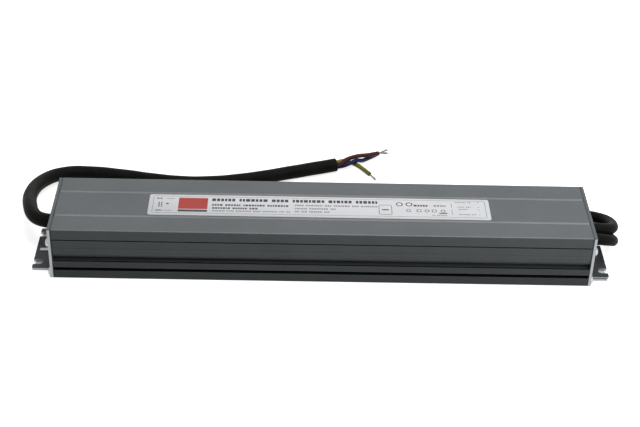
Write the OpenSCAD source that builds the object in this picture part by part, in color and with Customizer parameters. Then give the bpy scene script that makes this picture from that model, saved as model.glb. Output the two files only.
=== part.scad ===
// Waterproof dimmable power supply: a potted circuit in an extruded aluminium case
// X runs along the case with the supply cord at -X, Y points to the back, Z is up
// The origin is on the underside, in the middle between the two feet

/* [Case extrusion] */
// Length of the extruded case, without its end plates
case_l = 335; // [330:1:420]
// Width of the case
case_w = 59.5; // [56:0.5:75]
// Height of the case
case_h = 36.8; // [34:0.2:46]
// Thickness of the case walls
wall_t = 2; // [1.6:0.1:2.4]
// Chamfer along the long edges
edge_c = 0.5; // [0.3:0.1:1]

/* [Side fins and lines] */
// Height of the solid flange along the bottom edge
flange_h = 6; // [5.2:0.1:7.2]
// Height of the gap between the flange and the fin
gap_h = 2.3; // [1.6:0.1:3]
// Thickness of the fin above the gap
fin_h = 4.7; // [3.8:0.1:5.6]
// Depth of the gap and of the cove behind the side face
recess_d = 5.2; // [3.8:0.1:6]
// Drop from the top face to the shoulder of the cove
shoulder_drop = 13.4; // [12.4:0.1:14.4]
// Radius of the rounded cheek that leads into the cove
cove_r = 8.5; // [7:0.1:10]
// Drop from the top face to the thin line in the side
line_drop = 8.2; // [6.8:0.1:9.6]
// Height and depth of that thin line
line_s = 0.7; // [0.4:0.1:0.9]
// Distance from the middle to each V-groove in the top
groove_y = 13.4; // [11:0.1:16]
// Width of a V-groove at the top face
groove_w = 1.8; // [1:0.1:2.2]

/* [Screw ports] */
// Inset of the port axes from the side faces
port_inset = 3.4; // [3:0.1:3.8]
// Drop from the top face to the upper ports
port_drop = 12; // [11:0.1:12.6]
// Height of the lower ports
port_low = 3; // [2.6:0.1:3.4]
// Radius of the self-tapping ports
port_r = 1.25; // [1:0.05:1.4]
// Radius of the boss round an upper port
boss_r = 3.3; // [2.8:0.1:3.8]

/* [End plates and feet] */
// Thickness of the sheet
plate_t = 1.7; // [1.2:0.1:2.2]
// Thickness of the pressed gasket
gasket_t = 0.8; // [0.5:0.1:1.2]
// Distance from the plate's outer face to the foot's tip
foot_reach = 13.2; // [11:0.1:16]
// Width of a foot
foot_w = 44; // [38:0.5:46]
// Inside radius of the bend
bend_in = 0.9; // [0.5:0.1:1.5]
// Distance between the two slots of a foot
slot_pitch = 30.4; // [26:0.2:34]
// Width of a slot
slot_w = 4.8; // [4.3:0.1:5.5]
// Depth of a slot from the foot's tip to its round end
slot_l = 6.1; // [5:0.1:7]
// Radius of the foot's outer corners
foot_r = 1.4; // [1:0.1:2.4]
// Length of the pressed dart that stiffens the left bend
dart_l = 9; // [6:0.5:10]

/* [Screws] */
// Radius of a screw head
head_r = 2.8; // [2.4:0.1:2.9]
// Height of a screw head
head_h = 1.9; // [1.4:0.1:2.4]
// Length of a screw below its head
screw_l = 10; // [6:0.5:16]
// Radius of the screw holes in the plates
screw_hole_r = 1.6; // [1.5:0.05:1.8]

/* [Cords] */
// Diameter of the supply cord
ac_d = 9.3; // [8:0.1:10]
// Diameter of each output cord
dc_d = 7.3; // [6:0.1:7.6]
// Diameter of a core of the supply cord
core_d = 3; // [2.4:0.1:3.2]
// Diameter of a core of an output cord
dc_core_d = 2.4; // [2:0.1:2.8]
// How far a grommet stands out of its plate
grommet_out = 3; // [2:0.1:4]
// Width of a grommet's collar round the cord
grommet_wall = 2; // [1.6:0.1:2.2]

/* [Rating label] */
// Length of the label
label_l = 216; // [150:1:240]
// Width of the label
label_w = 23; // [18:0.1:24]
// Thickness of the label
label_t = 0.2; // [0.1:0.05:0.3]
// Shift of the label from the middle of the case
label_x = -2; // [-10:0.5:10]

/* [Circuit] */
// Thickness of the circuit board
board_t = 1.6; // [1:0.1:2]
// Height of the board's underside
board_z = 6.3; // [5.6:0.1:7]
// Gap between the board's ends and the end plates
board_end = 9; // [8:0.5:14]
// Gap between the tallest components and the case roof
roof_gap = 1.2; // [0.8:0.1:2.5]
// Thickness of the bars that take heat to the case wall
bar_t = 4; // [3:0.5:5]
// Diameter of the bulk capacitors
bulk_d = 18; // [14:0.5:20]
// Diameter of the output capacitors
out_cap_d = 12.5; // [10:0.5:13]

/* [Hidden] */
$fn = 64;

// A little more than the cut, so that no cut ends on a face
over = 1;
// Clearance between pieces that only touch
clear = 0.1;

half_w = case_w / 2;
fin_z = flange_h + gap_h;
fin_top = fin_z + fin_h;
shoulder_z = case_h - shoulder_drop;
cheek_z = shoulder_z - 2.2;
line_z = case_h - line_drop;
groove_d = groove_w / 2;
cave_hw = half_w - recess_d - wall_t;
cave_up_hw = half_w - wall_t;
roof_z = case_h - wall_t;
port_y = half_w - port_inset;
port_high = case_h - port_drop;
// Depth and thickness of the rails that hold the board
rail_d = 1.6;
rail_t = 1.2;

plate_in = case_l / 2 + gasket_t;
plate_out = plate_in + plate_t;
bend_out = bend_in + plate_t;
foot_tip = plate_out + foot_reach;
// Width of the cut on each side of the bend
relief_w = 1;
slot_seat_x = foot_tip - slot_l + slot_w / 2;
dart_w = 2.4;

ac_exit = [2.5, 21];
dc_exit_y = 6;
dc_exit_z = 20;
// Thickness of a grommet's inner collar, and the flare and rounding of its mouth
flange_in = 1.6;
flare = 0.7;
lip = 0.8;
// How much slimmer a grommet's neck is than its collar
neck_step = 0.8;
cord_r = ac_d / 2;
dc_r = dc_d / 2;

board_w = 2 * (cave_hw - 0.3);
board_l = case_l - 2 * board_end;
board_top = board_z + board_t;
sheet_t = 0.4;
// Components stand on the board and share the height that is left under the roof
seat = board_top + clear;
tall = roof_z - roof_gap - seat;
bar_z = board_top + rail_t + 2 * clear;
// Distance of the compound from the case's ends, and the gap left under the roof
pot_end = 26;
pot_gap = 0.6;
// The heat bars stand against the side wall, and clear the bosses of the upper ports
bar_side = min(cave_hw, port_y - boss_r) - clear;
bar_face = bar_side - bar_t;
// Where the leads leave the cords, and where they stand on the board
lead_top = case_l / 2 - 9.8;
lead_foot = case_l / 2 - 19.1;

// Places of the components, in X and Y
fuse_at = [31 - board_l / 2, -14];
varistor_at = [29 - board_l / 2, 7];
film_at = [56 - board_l / 2, 13.2];
choke_at = [88 - board_l / 2, 0];
booster_at = [-30, -8];
transformer_at = [66, 0];
output_choke_at = [board_l / 2 - 56, 7];
out_caps_x = [for (d = [24.5, 38]) board_l / 2 - d];
out_caps_y = [for (i = [0, 1]) cave_hw - rail_d - 0.3 - out_cap_d / 2 - i * (out_cap_d + 0.9)];

// Outer sizes of the components
fuse_d = 5.2;
fuse_l = 20;
varistor_d = 14;
varistor_t = 5;
film_l = 26;
film_w = 12;
choke_r = [8.5, 14];
choke_h = 13;
winding_t = 1.8;
bridge_l = 30;
bridge_h = 17;
lead_l = 3;
package_t = 4.6;
booster_core_s = [32, 17];
booster_r = [5.5, 13];
transformer_core_s = [41, 26];
transformer_r = [7.5, 17];
yoke_t = 4.5;
bulk_l = 31;
card_w = 34;
card_t = 1.2;
output_choke_r = [5, 11];
output_choke_h = 11;

// The supply cord's route, chosen by hand: out of the plate, a loop to the back, then along the floor
ac_route = [[-158, 2.5, 21], [-167, 2.5, 21], [-172.4, 2.5, 21], [-174.8, 2.9, 20.9], [-179, 5.1, 20.2],
    [-183.4, 8.7, 19.6], [-187, 14.8, 19], [-189.9, 24.1, 17.6], [-192.2, 35.2, 15.4],
    [-193, 47.4, 12.9], [-191.5, 59.5, 10.6], [-187.7, 70.5, 8.3], [-180.9, 79.4, 6.5],
    [-171.5, 84.7, 5.2], [-160.5, 85.5, 4.8], [-134, 82, 4.7], [-112, 77.4, 4.7], [-90, 75, 4.7],
    [-68, 76.8, 4.7], [-46, 82, 4.7], [-18, 91.5, 4.7], [11, 101.6, 4.7]];
// The two output cords turn back beside the right foot and run to the left behind the case
dc_rear_route = [[158, 6, 20], [167, 6, 20], [172.8, 6, 20], [179.2, 6.6, 19.3], [184.9, 9, 17.6],
    [189.1, 13.4, 15.2], [191, 19.6, 12.7], [190.9, 26.8, 10.3], [188.6, 33.8, 8], [184.2, 39.4, 6],
    [177.8, 43.4, 4.6], [169, 45.8, 3.8], [148, 48.6, 3.75], [124, 50, 3.75], [98, 50.4, 3.75],
    [72, 50.4, 3.75], [46, 50, 3.75], [20, 49.2, 3.75], [-6, 48.4, 3.75], [-32, 47.8, 3.75],
    [-52, 47.8, 3.75]];
dc_front_route = [[158, -6, 20], [167, -6, 20], [172.8, -6, 20], [179.2, -4.8, 18.7],
    [184.4, -1.8, 16.3], [187.8, 2.6, 13.1], [189.4, 7.9, 9.3], [189.3, 14.2, 6.5], [187.6, 20.6, 4.9],
    [184.3, 26.2, 4], [179.2, 30.9, 3.75], [172.4, 34.6, 3.75], [163.6, 36, 3.75], [140, 36.4, 3.75],
    [114, 36.6, 3.75], [88, 36.8, 3.75], [62, 36.8, 3.75], [36, 36.6, 3.75], [10, 36.4, 3.75],
    [-16, 36.4, 3.75], [-40, 36.6, 3.75], [-64, 36.8, 3.75]];
// The cores of the supply cord, from the cut end of its sheath
live_route = [[11.6, 100.3, 5.7], [13.1, 100.8, 5.8], [16.8, 104.4, 6.4], [21.4, 108.7, 6.2],
    [27.4, 111.9, 6], [33.6, 114.6, 5.1], [41.8, 118.6, 4.4]];
neutral_route = [[11.1, 101.8, 2.7], [12.6, 102.3, 2.7], [16.6, 102.9, 3.2], [21, 104.6, 4.4],
    [25.8, 107.8, 4.7], [30, 111.2, 2.6], [34, 115.6, 1.7], [41.8, 122.8, 1.6]];
earth_route = [[10.5, 103.6, 5.2], [12, 104.1, 5.2], [14.2, 106.6, 4.6], [16.8, 109.6, 3],
    [20.2, 110.6, 1.7], [24, 108.6, 1.6], [27.6, 105, 1.6], [31.2, 100.2, 1.6], [34.7, 94.8, 1.6]];
// Where the bare strands of the three cores end
strand_tips = [[48.5, 123.8, 4.4], [49, 124.4, 1], [38.9, 88.5, 1]];
strand_r = 0.65;
// How far the output cores and their bare strands run on past the cut sheaths
dc_core_l = 14;
dc_strand_l = 8;
dc_strand_r = 0.6;

function unit(v) = v / norm(v);
function heading(p, i) = unit(p[min(i + 1, len(p) - 1)] - p[max(i - 1, 0)]);
// One ring of a tube, square to the route at point i
function ring(p, i, r, sides) =
    let (t = heading(p, i), a = unit(cross([0, 0, 1], t)), b = cross(t, a))
    [for (k = [0 : sides - 1]) p[i] + r * (cos(360 * k / sides) * a + sin(360 * k / sides) * b)];

// A tube swept along the points of a route
module tube(p, r, sides) {
    last = (len(p) - 1) * sides;
    polyhedron(
        points = [for (i = [0 : len(p) - 1]) each ring(p, i, r, sides)],
        faces = concat(
            [[for (k = [0 : sides - 1]) k]],
            [for (i = [0 : len(p) - 2], k = [0 : sides - 1])
                let (a = i * sides, b = a + sides, n = (k + 1) % sides)
                each [[a + k, b + k, b + n], [a + k, b + n, a + n]]],
            [[for (k = [sides - 1 : -1 : 0]) last + k]]));
}

// A straight round rod from one point to another
module rod(a, b, r) {
    d = b - a;
    translate(a) rotate([0, acos(d.z / norm(d)), atan2(d.y, d.x)]) cylinder(r = r, h = norm(d));
}

// Copies of the children on both sides of the middle plane
module both_sides() {
    children();
    mirror([1, 0, 0]) children();
}

// A section drawn in Y and Z, extruded along X round the middle
module along_x(l) {
    rotate([90, 0, 90]) linear_extrude(height = l, center = true) children();
}

// A section drawn in X and Z, extruded along Y round the middle
module along_y(w) {
    rotate([90, 0, 0]) linear_extrude(height = w, center = true) children();
}

// A turned profile whose axis lies along +X
module turned_x() {
    rotate([0, 90, 0]) rotate_extrude() children();
}

// A box that is centred in X and Y and stands on its base
module block(l, w, h) {
    translate([-l / 2, -w / 2, 0]) cube([l, w, h]);
}

module chamfered(w, h, c) {
    polygon([[-w / 2 + c, 0], [w / 2 - c, 0], [w / 2, c], [w / 2, h - c],
        [w / 2 - c, h], [-w / 2 + c, h], [-w / 2, h - c], [-w / 2, c]]);
}

// The cove above the fin: a rounded cheek that curls in from the side face
module cove() {
    difference() {
        translate([half_w - recess_d, fin_top]) square([recess_d + over, shoulder_z - fin_top]);
        translate([half_w - cove_r, cheek_z]) circle(r = cove_r);
    }
}

// The gap under the fin, with a round bottom
module fin_gap() {
    translate([half_w - recess_d, flange_h]) square([recess_d + over, gap_h]);
    translate([half_w - recess_d, flange_h + gap_h / 2]) circle(r = gap_h / 2);
}

module v_groove() {
    translate([groove_y, case_h])
        polygon([[-groove_w / 2 - clear, clear], [groove_w / 2 + clear, clear], [0, -groove_d]]);
}

module case_outline() {
    difference() {
        chamfered(case_w, case_h, edge_c);
        both_sides() {
            cove();
            fin_gap();
            v_groove();
            translate([half_w - line_s, line_z]) square([line_s + over, line_s]);
        }
    }
}

// The cavity follows the cheeks, and leaves the port bosses and the board rails standing
module cavity(inset = 0) {
    difference() {
        union() {
            translate([-cave_hw + inset, wall_t + inset])
                square([2 * (cave_hw - inset), roof_z - wall_t - 2 * inset]);
            translate([-cave_up_hw + inset, cheek_z])
                square([2 * (cave_up_hw - inset), roof_z - cheek_z - inset]);
            both_sides() translate([half_w - cove_r, cheek_z]) intersection() {
                circle(r = cove_r - wall_t - inset);
                translate([0, -cove_r]) square([cove_r, cove_r + clear]);
            }
        }
        both_sides() {
            translate([port_y, port_high]) circle(r = boss_r + inset);
            for (z = [board_z - clear - rail_t, board_top + clear])
                translate([cave_hw - rail_d - inset, z - inset])
                    square([rail_d + 2 * inset + over, rail_t + 2 * inset]);
        }
    }
}

module port_circles(r) {
    both_sides() for (z = [port_high, port_low]) translate([port_y, z]) circle(r = r);
}

module case_section(r) {
    difference() {
        case_outline();
        cavity();
        port_circles(r);
    }
}

module housing() {
    color("#5f6668") along_x(case_l) case_section(port_r);
}

// A gasket has the section of the case, with clearance round the screws
module gasket() {
    color("#1c1e1f") translate([case_l / 2 + gasket_t / 2, 0, 0]) along_x(gasket_t)
        case_section(screw_hole_r);
}

module gasket_left() {
    mirror([1, 0, 0]) gasket();
}

module gasket_right() {
    gasket();
}

// The section of the bent sheet, from the plate's inner face outwards
module bent_section() {
    translate([bend_out, 0]) square([plate_t + foot_reach - bend_out, plate_t]);
    translate([0, bend_out]) square([plate_t, case_h / 2 - bend_out]);
    intersection() {
        translate([bend_out, bend_out]) difference() {
            circle(r = bend_out);
            circle(r = bend_in);
        }
        square([bend_out, bend_out]);
    }
}

// The foot's outline seen from above, with rounded outer corners and two open slots
module foot_plan() {
    difference() {
        union() {
            translate([plate_in - over, -foot_w / 2])
                square([foot_tip - foot_r - plate_in + over, foot_w]);
            translate([plate_in, foot_r - foot_w / 2])
                square([foot_tip - plate_in, foot_w - 2 * foot_r]);
            for (s = [-1, 1])
                translate([foot_tip - foot_r, s * (foot_w / 2 - foot_r)]) circle(r = foot_r);
        }
        for (s = [-1, 1]) translate([slot_seat_x, s * slot_pitch / 2]) {
            circle(r = slot_w / 2);
            translate([0, -slot_w / 2]) square([slot_l, slot_w]);
        }
    }
}

// One end plate at +X: cut from sheet, with its foot bent outwards
module end_plate() {
    difference() {
        union() {
            difference() {
                translate([plate_in + plate_t / 2, 0, 0]) along_x(plate_t)
                    chamfered(case_w, case_h, edge_c);
                translate([plate_in - over, -foot_w / 2 - relief_w, -over])
                    cube([plate_t + 2 * over, foot_w + 2 * relief_w, bend_out + over]);
            }
            intersection() {
                translate([plate_in, 0, 0]) along_y(foot_w) bent_section();
                linear_extrude(height = case_h) foot_plan();
            }
        }
        translate([plate_in + plate_t / 2, 0, 0]) along_x(plate_t + 2 * over)
            port_circles(screw_hole_r);
    }
}

// A round hole through a plate for a grommet
module cord_hole(y, z, d) {
    translate([plate_in - over, y, z]) rotate([0, 90, 0])
        cylinder(r = d / 2 + grommet_wall - neck_step, h = plate_t + 2 * over);
}

// The pressed dart across the bend of the left plate: it rises on the plate and runs out on the foot
module dart() {
    rise = dart_l * 0.6;
    crest = [rise * 0.9, rise * 0.2];
    translate([plate_out - clear, 0, plate_t - clear]) along_y(dart_w)
        polygon([[0, 0], [dart_l, 0], crest, [crest.y, crest.x], [0, rise]]);
}

module end_plate_left() {
    color("#6f7577") difference() {
        mirror([1, 0, 0]) union() {
            end_plate();
            dart();
        }
        mirror([1, 0, 0]) cord_hole(ac_exit.x, ac_exit.y, ac_d);
    }
}

module end_plate_right() {
    color("#6f7577") difference() {
        end_plate();
        for (s = [-1, 1]) cord_hole(s * dc_exit_y, dc_exit_z, dc_d);
    }
}

// A pan-head screw with a cross recess, its head on the plate's outer face
module screw() {
    dome_r = head_r * 1.7;
    cross_l = head_r * 1.2;
    cross_w = head_r * 0.2;
    difference() {
        union() {
            turned_x() intersection() {
                translate([0, head_h - dome_r]) circle(r = dome_r);
                square([head_r, head_h]);
            }
            translate([-screw_l, 0, 0]) rotate([0, 90, 0])
                cylinder(r = port_r - clear / 4, h = screw_l + clear);
        }
        for (a = [45, 135]) rotate([a, 0, 0]) translate([head_h * 0.4, -cross_l / 2, -cross_w / 2])
            cube([head_h, cross_l, cross_w]);
    }
}

module end_screws_right() {
    color("#c9ccce") for (s = [-1, 1], z = [port_high, port_low])
        translate([plate_out, s * port_y, z]) screw();
}

module end_screws_left() {
    mirror([1, 0, 0]) end_screws_right();
}

module rating_label() {
    corner = 1.5;
    color("#dfe1e1") translate([label_x, 0, case_h]) linear_extrude(height = label_t) {
        square([label_l - 2 * corner, label_w], center = true);
        square([label_l, label_w - 2 * corner], center = true);
        for (x = [-1, 1], y = [-1, 1])
            translate([x * (label_l / 2 - corner), y * (label_w / 2 - corner)]) circle(r = corner);
    }
}

// A rubber grommet at +X: inner collar, neck in the plate and outer collar, round the cord's bore
module grommet(d) {
    bore = d / 2 + clear;
    collar = d / 2 + grommet_wall;
    neck = collar - neck_step - clear / 2;
    face = plate_out + clear / 2;
    end = plate_out + grommet_out;
    color("#1b1b1c") turned_x() difference() {
        union() {
            translate([bore, plate_in - flange_in]) square([collar - bore, flange_in - clear / 2]);
            translate([bore, plate_in - over]) square([neck - bore, plate_t + 2 * over]);
            translate([bore, face]) square([collar - bore - lip, end - face]);
            translate([bore, face]) square([collar - bore, end - lip - face]);
            translate([collar - lip, end - lip]) circle(r = lip);
        }
        translate([bore, end]) polygon([[-over, over], [-over, -flare - over], [0, -flare], [flare, 0],
            [flare, over]]);
    }
}

module ac_grommet() {
    mirror([1, 0, 0]) translate([0, ac_exit.x, ac_exit.y]) grommet(ac_d);
}

module dc_grommet_front() {
    translate([0, -dc_exit_y, dc_exit_z]) grommet(dc_d);
}

module dc_grommet_rear() {
    translate([0, dc_exit_y, dc_exit_z]) grommet(dc_d);
}

module ac_cord() {
    color("#1a1a1b") tube(ac_route, cord_r, 10);
}

module ac_core_live() {
    color("#5a3423") tube(live_route, core_d / 2, 8);
}

module ac_core_neutral() {
    color("#20386e") tube(neutral_route, core_d / 2, 8);
}

module ac_core_earth() {
    color("#8d9a2b") tube(earth_route, core_d / 2, 8);
}

// The bare tinned strands beyond the cores
module ac_conductors() {
    ends = [live_route, neutral_route, earth_route];
    color("#b9bcc0") for (i = [0 : 2]) let (a = ends[i][len(ends[i]) - 1], b = strand_tips[i])
        rod(a + 4 * clear * unit(b - a), b, strand_r);
}

module dc_cord_front() {
    color("#1a1a1b") tube(dc_front_route, dc_r, 8);
}

module dc_cord_rear() {
    color("#1a1a1b") tube(dc_rear_route, dc_r, 8);
}

// Where core s of an output cord starts, in the cut end of its sheath, and which way it spreads
function dc_core_at(route, s, x) = route[len(route) - 1] + [-x, s * (dc_core_d / 2 + clear + x / 20),
    -x * (dc_r - dc_core_d / 2) / (dc_core_l + dc_strand_l)];

module dc_cores(route) {
    for (s = [-1, 1]) color(s < 0 ? "#a3231f" : "#202021")
        rod(dc_core_at(route, s, 3 * clear), dc_core_at(route, s, dc_core_l), dc_core_d / 2);
}

module dc_cores_front() {
    dc_cores(dc_front_route);
}

module dc_cores_rear() {
    dc_cores(dc_rear_route);
}

module dc_conductors() {
    color("#b9bcc0") for (route = [dc_front_route, dc_rear_route], s = [-1, 1])
        rod(dc_core_at(route, s, dc_core_l), dc_core_at(route, s, dc_core_l + dc_strand_l),
            dc_strand_r);
}

// Height of a component that stands lower than the tallest, by a named step
function below(step) = tall - step;

// The board, with a notch at each end for the leads
module circuit_board() {
    notch = [6, 20];
    color("#2f6b3c") translate([0, 0, board_z]) difference() {
        block(board_l, board_w, board_t);
        for (s = [-1, 1]) translate([s * board_l / 2, 0, -over])
            block(2 * notch.x, notch.y, board_t + 2 * over);
    }
}

// The film tray between the board and the case, with turned-up edges
module insulating_sheet() {
    edge = 1.6;
    tray_w = 2 * (cave_hw - 1);
    color("#d9dcc8") translate([0, 0, wall_t + clear]) difference() {
        block(board_l, tray_w, edge);
        translate([0, 0, sheet_t]) block(board_l + over, tray_w - 2 * sheet_t, edge);
    }
}

// Three leads from the supply cord down to the board
module input_leads() {
    color("#5a3423") for (y = [-1, 0, 1])
        tube([[-lead_top, ac_exit.x + 2.2 * y, ac_exit.y - 0.4],
            [2.7 - lead_top, ac_exit.x + 2.5 * y, 19.8], [5.9 - lead_top, 2 + 3.4 * y, 17],
            [8.3 - lead_top, 1 + 4.4 * y, 13.4], [-lead_foot, 5 * y, seat + 0.4]], 1, 6);
}

// Two leads from each output cord down to the board
module output_leads() {
    color("#a3231f") for (c = [-1, 1], s = [-1, 1])
        tube([[lead_top, c * dc_exit_y + 1.4 * s, dc_exit_z - 0.2],
            [lead_top - 2.7, c * 6.2 + 1.6 * s, 19], [lead_top - 5.9, c * 6.6 + 1.8 * s, 16.4],
            [lead_top - 8.3, c * 7 + 2 * s, 13], [lead_foot, c * 7 + 2 * s, seat + 0.4]], 1, 6);
}

// Each component takes a gap g, so that the compound can leave room for it

// A ring that lies flat, through a full turn or a part of it
module flat_ring(r, h, turn = 360) {
    rotate_extrude(angle = turn) translate([r[0], 0]) square([r[1] - r[0], h]);
}

// A glass fuse with a metal cap on each end
module fuse(g = 0) {
    cap_l = 5;
    cap_t = 0.2;
    color("#d8d2c0") translate([fuse_at.x, fuse_at.y, seat + fuse_d / 2 + cap_t]) rotate([0, 90, 0]) {
        cylinder(r = fuse_d / 2 + g, h = fuse_l + 2 * g, center = true);
        for (s = [-1, 1]) translate([0, 0, s * (fuse_l - cap_l) / 2])
            cylinder(r = fuse_d / 2 + cap_t + g, h = cap_l + 2 * g, center = true);
    }
}

module varistor(g = 0) {
    color("#2c57a5") translate([varistor_at.x, varistor_at.y, seat + varistor_d / 2])
        rotate([0, 90, 0]) cylinder(r = varistor_d / 2 + g, h = varistor_t + 2 * g, center = true);
}

module filter_capacitors(g = 0) {
    color("#c8b560") for (s = [-1, 1]) translate([film_at.x, s * film_at.y, seat - g])
        block(film_l + 2 * g, film_w + 2 * g, below(5) + 2 * g);
}

module filter_choke_core(g = 0) {
    color("#4c5a4e") translate([choke_at.x, choke_at.y, seat + winding_t + clear - g])
        flat_ring(choke_r + g * [-1, 1], choke_h + 2 * g);
}

// Two windings wrap the ring on its left and right
module filter_choke_windings(g = 0) {
    turn = 150;
    color("#a5602c") for (a = [0, 180])
        translate([choke_at.x, choke_at.y, seat - g]) rotate([0, 0, a + 90 - turn / 2]) difference() {
            flat_ring(choke_r + (winding_t + g) * [-1, 1], choke_h + 2 * (winding_t + clear + g), turn);
            if (g == 0) translate([0, 0, winding_t])
                flat_ring(choke_r + clear * [-1, 1], choke_h + 2 * clear);
        }
}

// A bar that takes heat to one side wall, above the board rail
module heat_bar(x, l, side, g) {
    color("#b4b9bb") translate([x, side * (bar_side - bar_t / 2), bar_z - g])
        block(l + 2 * g, bar_t + 2 * g, below(3) - (bar_z - seat) + 2 * g);
}

module input_heat_bar(g = 0) {
    heat_bar(-29, 66, 1, g);
}

module output_heat_bar(g = 0) {
    heat_bar(board_l / 2 - 53, 34, -1, g);
}

// A bridge of rectifiers, flat against the input bar, on four leads
module bridge_rectifier(g = 0) {
    color("#232425") translate([-44, bar_face - clear - package_t / 2, seat]) {
        translate([0, 0, lead_l * (g > 0 ? 0 : 1) - g])
            block(bridge_l + 2 * g, package_t + 2 * g, bridge_h + lead_l * (g > 0 ? 1 : 0) + 2 * g);
        if (g == 0) for (x = [-10, -3, 4, 10]) translate([x, 0, 0]) block(1.2, 0.8, lead_l);
    }
}

// A transistor in a plastic case with a metal tab, its back against a bar at +Y
module transistor(g) {
    tab = [10, 1.3, 15.6];
    case_z = 9.2;
    leg = lead_l + 1;
    if (g == 0) {
        translate([-tab.x / 2, -tab.y, leg]) difference() {
            cube(tab);
            translate([tab.x / 2, -over, 12.9]) rotate([-90, 0, 0])
                cylinder(r = 1.8, h = tab.y + 2 * over);
        }
        translate([-tab.x / 2, -package_t, leg]) cube([tab.x, package_t - tab.y, case_z]);
        for (x = [-2.5, 0, 2.5]) translate([x, -2.6, 0]) block(0.8, 0.5, leg);
    } else translate([0, -package_t / 2, -g])
        block(tab.x + 2 * g, package_t + 2 * g, leg + tab.z + 2 * g);
}

module power_transistors(g = 0) {
    color("#2a2b2c") for (x = [-20, -6]) translate([x, bar_face - clear, seat]) transistor(g);
}

module output_rectifiers(g = 0) {
    color("#2a2b2c") for (d = [61, 45])
        translate([board_l / 2 - d, clear - bar_face, seat]) rotate([0, 0, 180]) transistor(g);
}

// A core round an upright coil, open on two sides, with a post through the coil
module coil_core(size, h, r) {
    difference() {
        block(size.x, size.y, h);
        difference() {
            translate([0, 0, yoke_t]) cylinder(r = r[1] + 2 * clear, h = h - 2 * yoke_t);
            cylinder(r = r[0], h = h);
        }
    }
}

module coil(h, r) {
    translate([0, 0, yoke_t + clear]) flat_ring(r + [clear, clear], h - 2 * (yoke_t + clear));
}

module booster_core() {
    color("#3b3d3f") translate([booster_at.x, booster_at.y, seat])
        coil_core(booster_core_s, below(3), booster_r);
}

module booster_winding() {
    color("#a5602c") translate([booster_at.x, booster_at.y, seat]) coil(below(3), booster_r);
}

module transformer_core() {
    color("#3b3d3f") translate([transformer_at.x, transformer_at.y, seat])
        coil_core(transformer_core_s, tall, transformer_r);
}

module transformer_winding() {
    color("#c9a23c") translate([transformer_at.x, transformer_at.y, seat]) coil(tall, transformer_r);
}

// Room in the compound for a core with its coil
module coil_room(at, size, h, r) {
    translate([at.x, at.y, seat - clear]) {
        block(size.x + 2 * clear, size.y + 2 * clear, h + 2 * clear);
        cylinder(r = r[1] + 2 * clear, h = h + 2 * clear);
    }
}

// A round capacitor can with a bead near its open end, standing on that end
module can(d, h, g) {
    bead_r = 0.5;
    bead_z = 3;
    rotate_extrude() difference() {
        translate([0, -g]) square([d / 2 + g, h + 2 * g]);
        if (g == 0) translate([d / 2, bead_z]) circle(r = bead_r);
    }
}

// Two cans lie side by side along the case
module bulk_capacitors(g = 0) {
    color("#2b3a66") for (s = [-1, 1])
        translate([4, s * (bulk_d / 2 + 0.2) - 1.8, seat + bulk_d / 2]) rotate([0, 90, 0])
            can(bulk_d, bulk_l, g);
}

module control_card(g = 0) {
    color("#2f6b3c") translate([40.4, 0, seat - g])
        block(card_t + 2 * g, card_w + 2 * g, below(6) + 2 * g);
}

module output_choke(g = 0) {
    color("#a5602c") translate([output_choke_at.x, output_choke_at.y, seat - g])
        flat_ring(output_choke_r + g * [-1, 1], output_choke_h + 2 * g);
}

module output_capacitors(g = 0) {
    color("#2b2b2d") for (x = out_caps_x, y = out_caps_y)
        translate([x, y, seat]) can(out_cap_d, below(4), g);
}

// Room in the compound for the board and for the film tray's edges
module board_room() {
    edge_room = 2;
    translate([0, 0, board_z - clear]) block(case_l, 2 * cave_hw, board_t + 2 * clear);
    for (s = [-1, 1]) translate([0, s * (cave_hw - edge_room / 2), wall_t])
        block(case_l, edge_room, edge_room);
}

// The compound fills the case round the board and its components
module potting_compound() {
    floor_z = wall_t + 2 * clear + sheet_t;
    color("#3a3c3e") difference() {
        along_x(case_l - 2 * pot_end) intersection() {
            cavity(clear);
            translate([-half_w, floor_z]) square([case_w, roof_z - pot_gap - floor_z]);
        }
        board_room();
        fuse(clear);
        varistor(clear);
        filter_capacitors(clear);
        filter_choke_core(clear);
        filter_choke_windings(clear);
        bridge_rectifier(clear);
        input_heat_bar(clear);
        output_heat_bar(clear);
        power_transistors(clear);
        output_rectifiers(clear);
        coil_room(booster_at, booster_core_s, below(3), booster_r);
        coil_room(transformer_at, transformer_core_s, tall, transformer_r);
        bulk_capacitors(clear);
        control_card(clear);
        output_choke(clear);
        output_capacitors(clear);
    }
}

housing();
end_plate_left();
end_plate_right();
gasket_left();
gasket_right();
end_screws_left();
end_screws_right();
rating_label();
ac_grommet();
dc_grommet_front();
dc_grommet_rear();
ac_cord();
ac_core_live();
ac_core_neutral();
ac_core_earth();
ac_conductors();
dc_cord_front();
dc_cord_rear();
dc_cores_front();
dc_cores_rear();
dc_conductors();
circuit_board();
insulating_sheet();
input_leads();
output_leads();
fuse();
varistor();
filter_capacitors();
filter_choke_core();
filter_choke_windings();
bridge_rectifier();
booster_core();
booster_winding();
power_transistors();
input_heat_bar();
bulk_capacitors();
control_card();
transformer_core();
transformer_winding();
output_rectifiers();
output_heat_bar();
output_choke();
output_capacitors();
potting_compound();
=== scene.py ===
import logging
import math
from dataclasses import dataclass, field
from enum import Enum
from typing import Sequence

import bmesh
import bpy
import numpy as np
from mathutils import Matrix, Vector
from mathutils.geometry import tessellate_polygon


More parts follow.
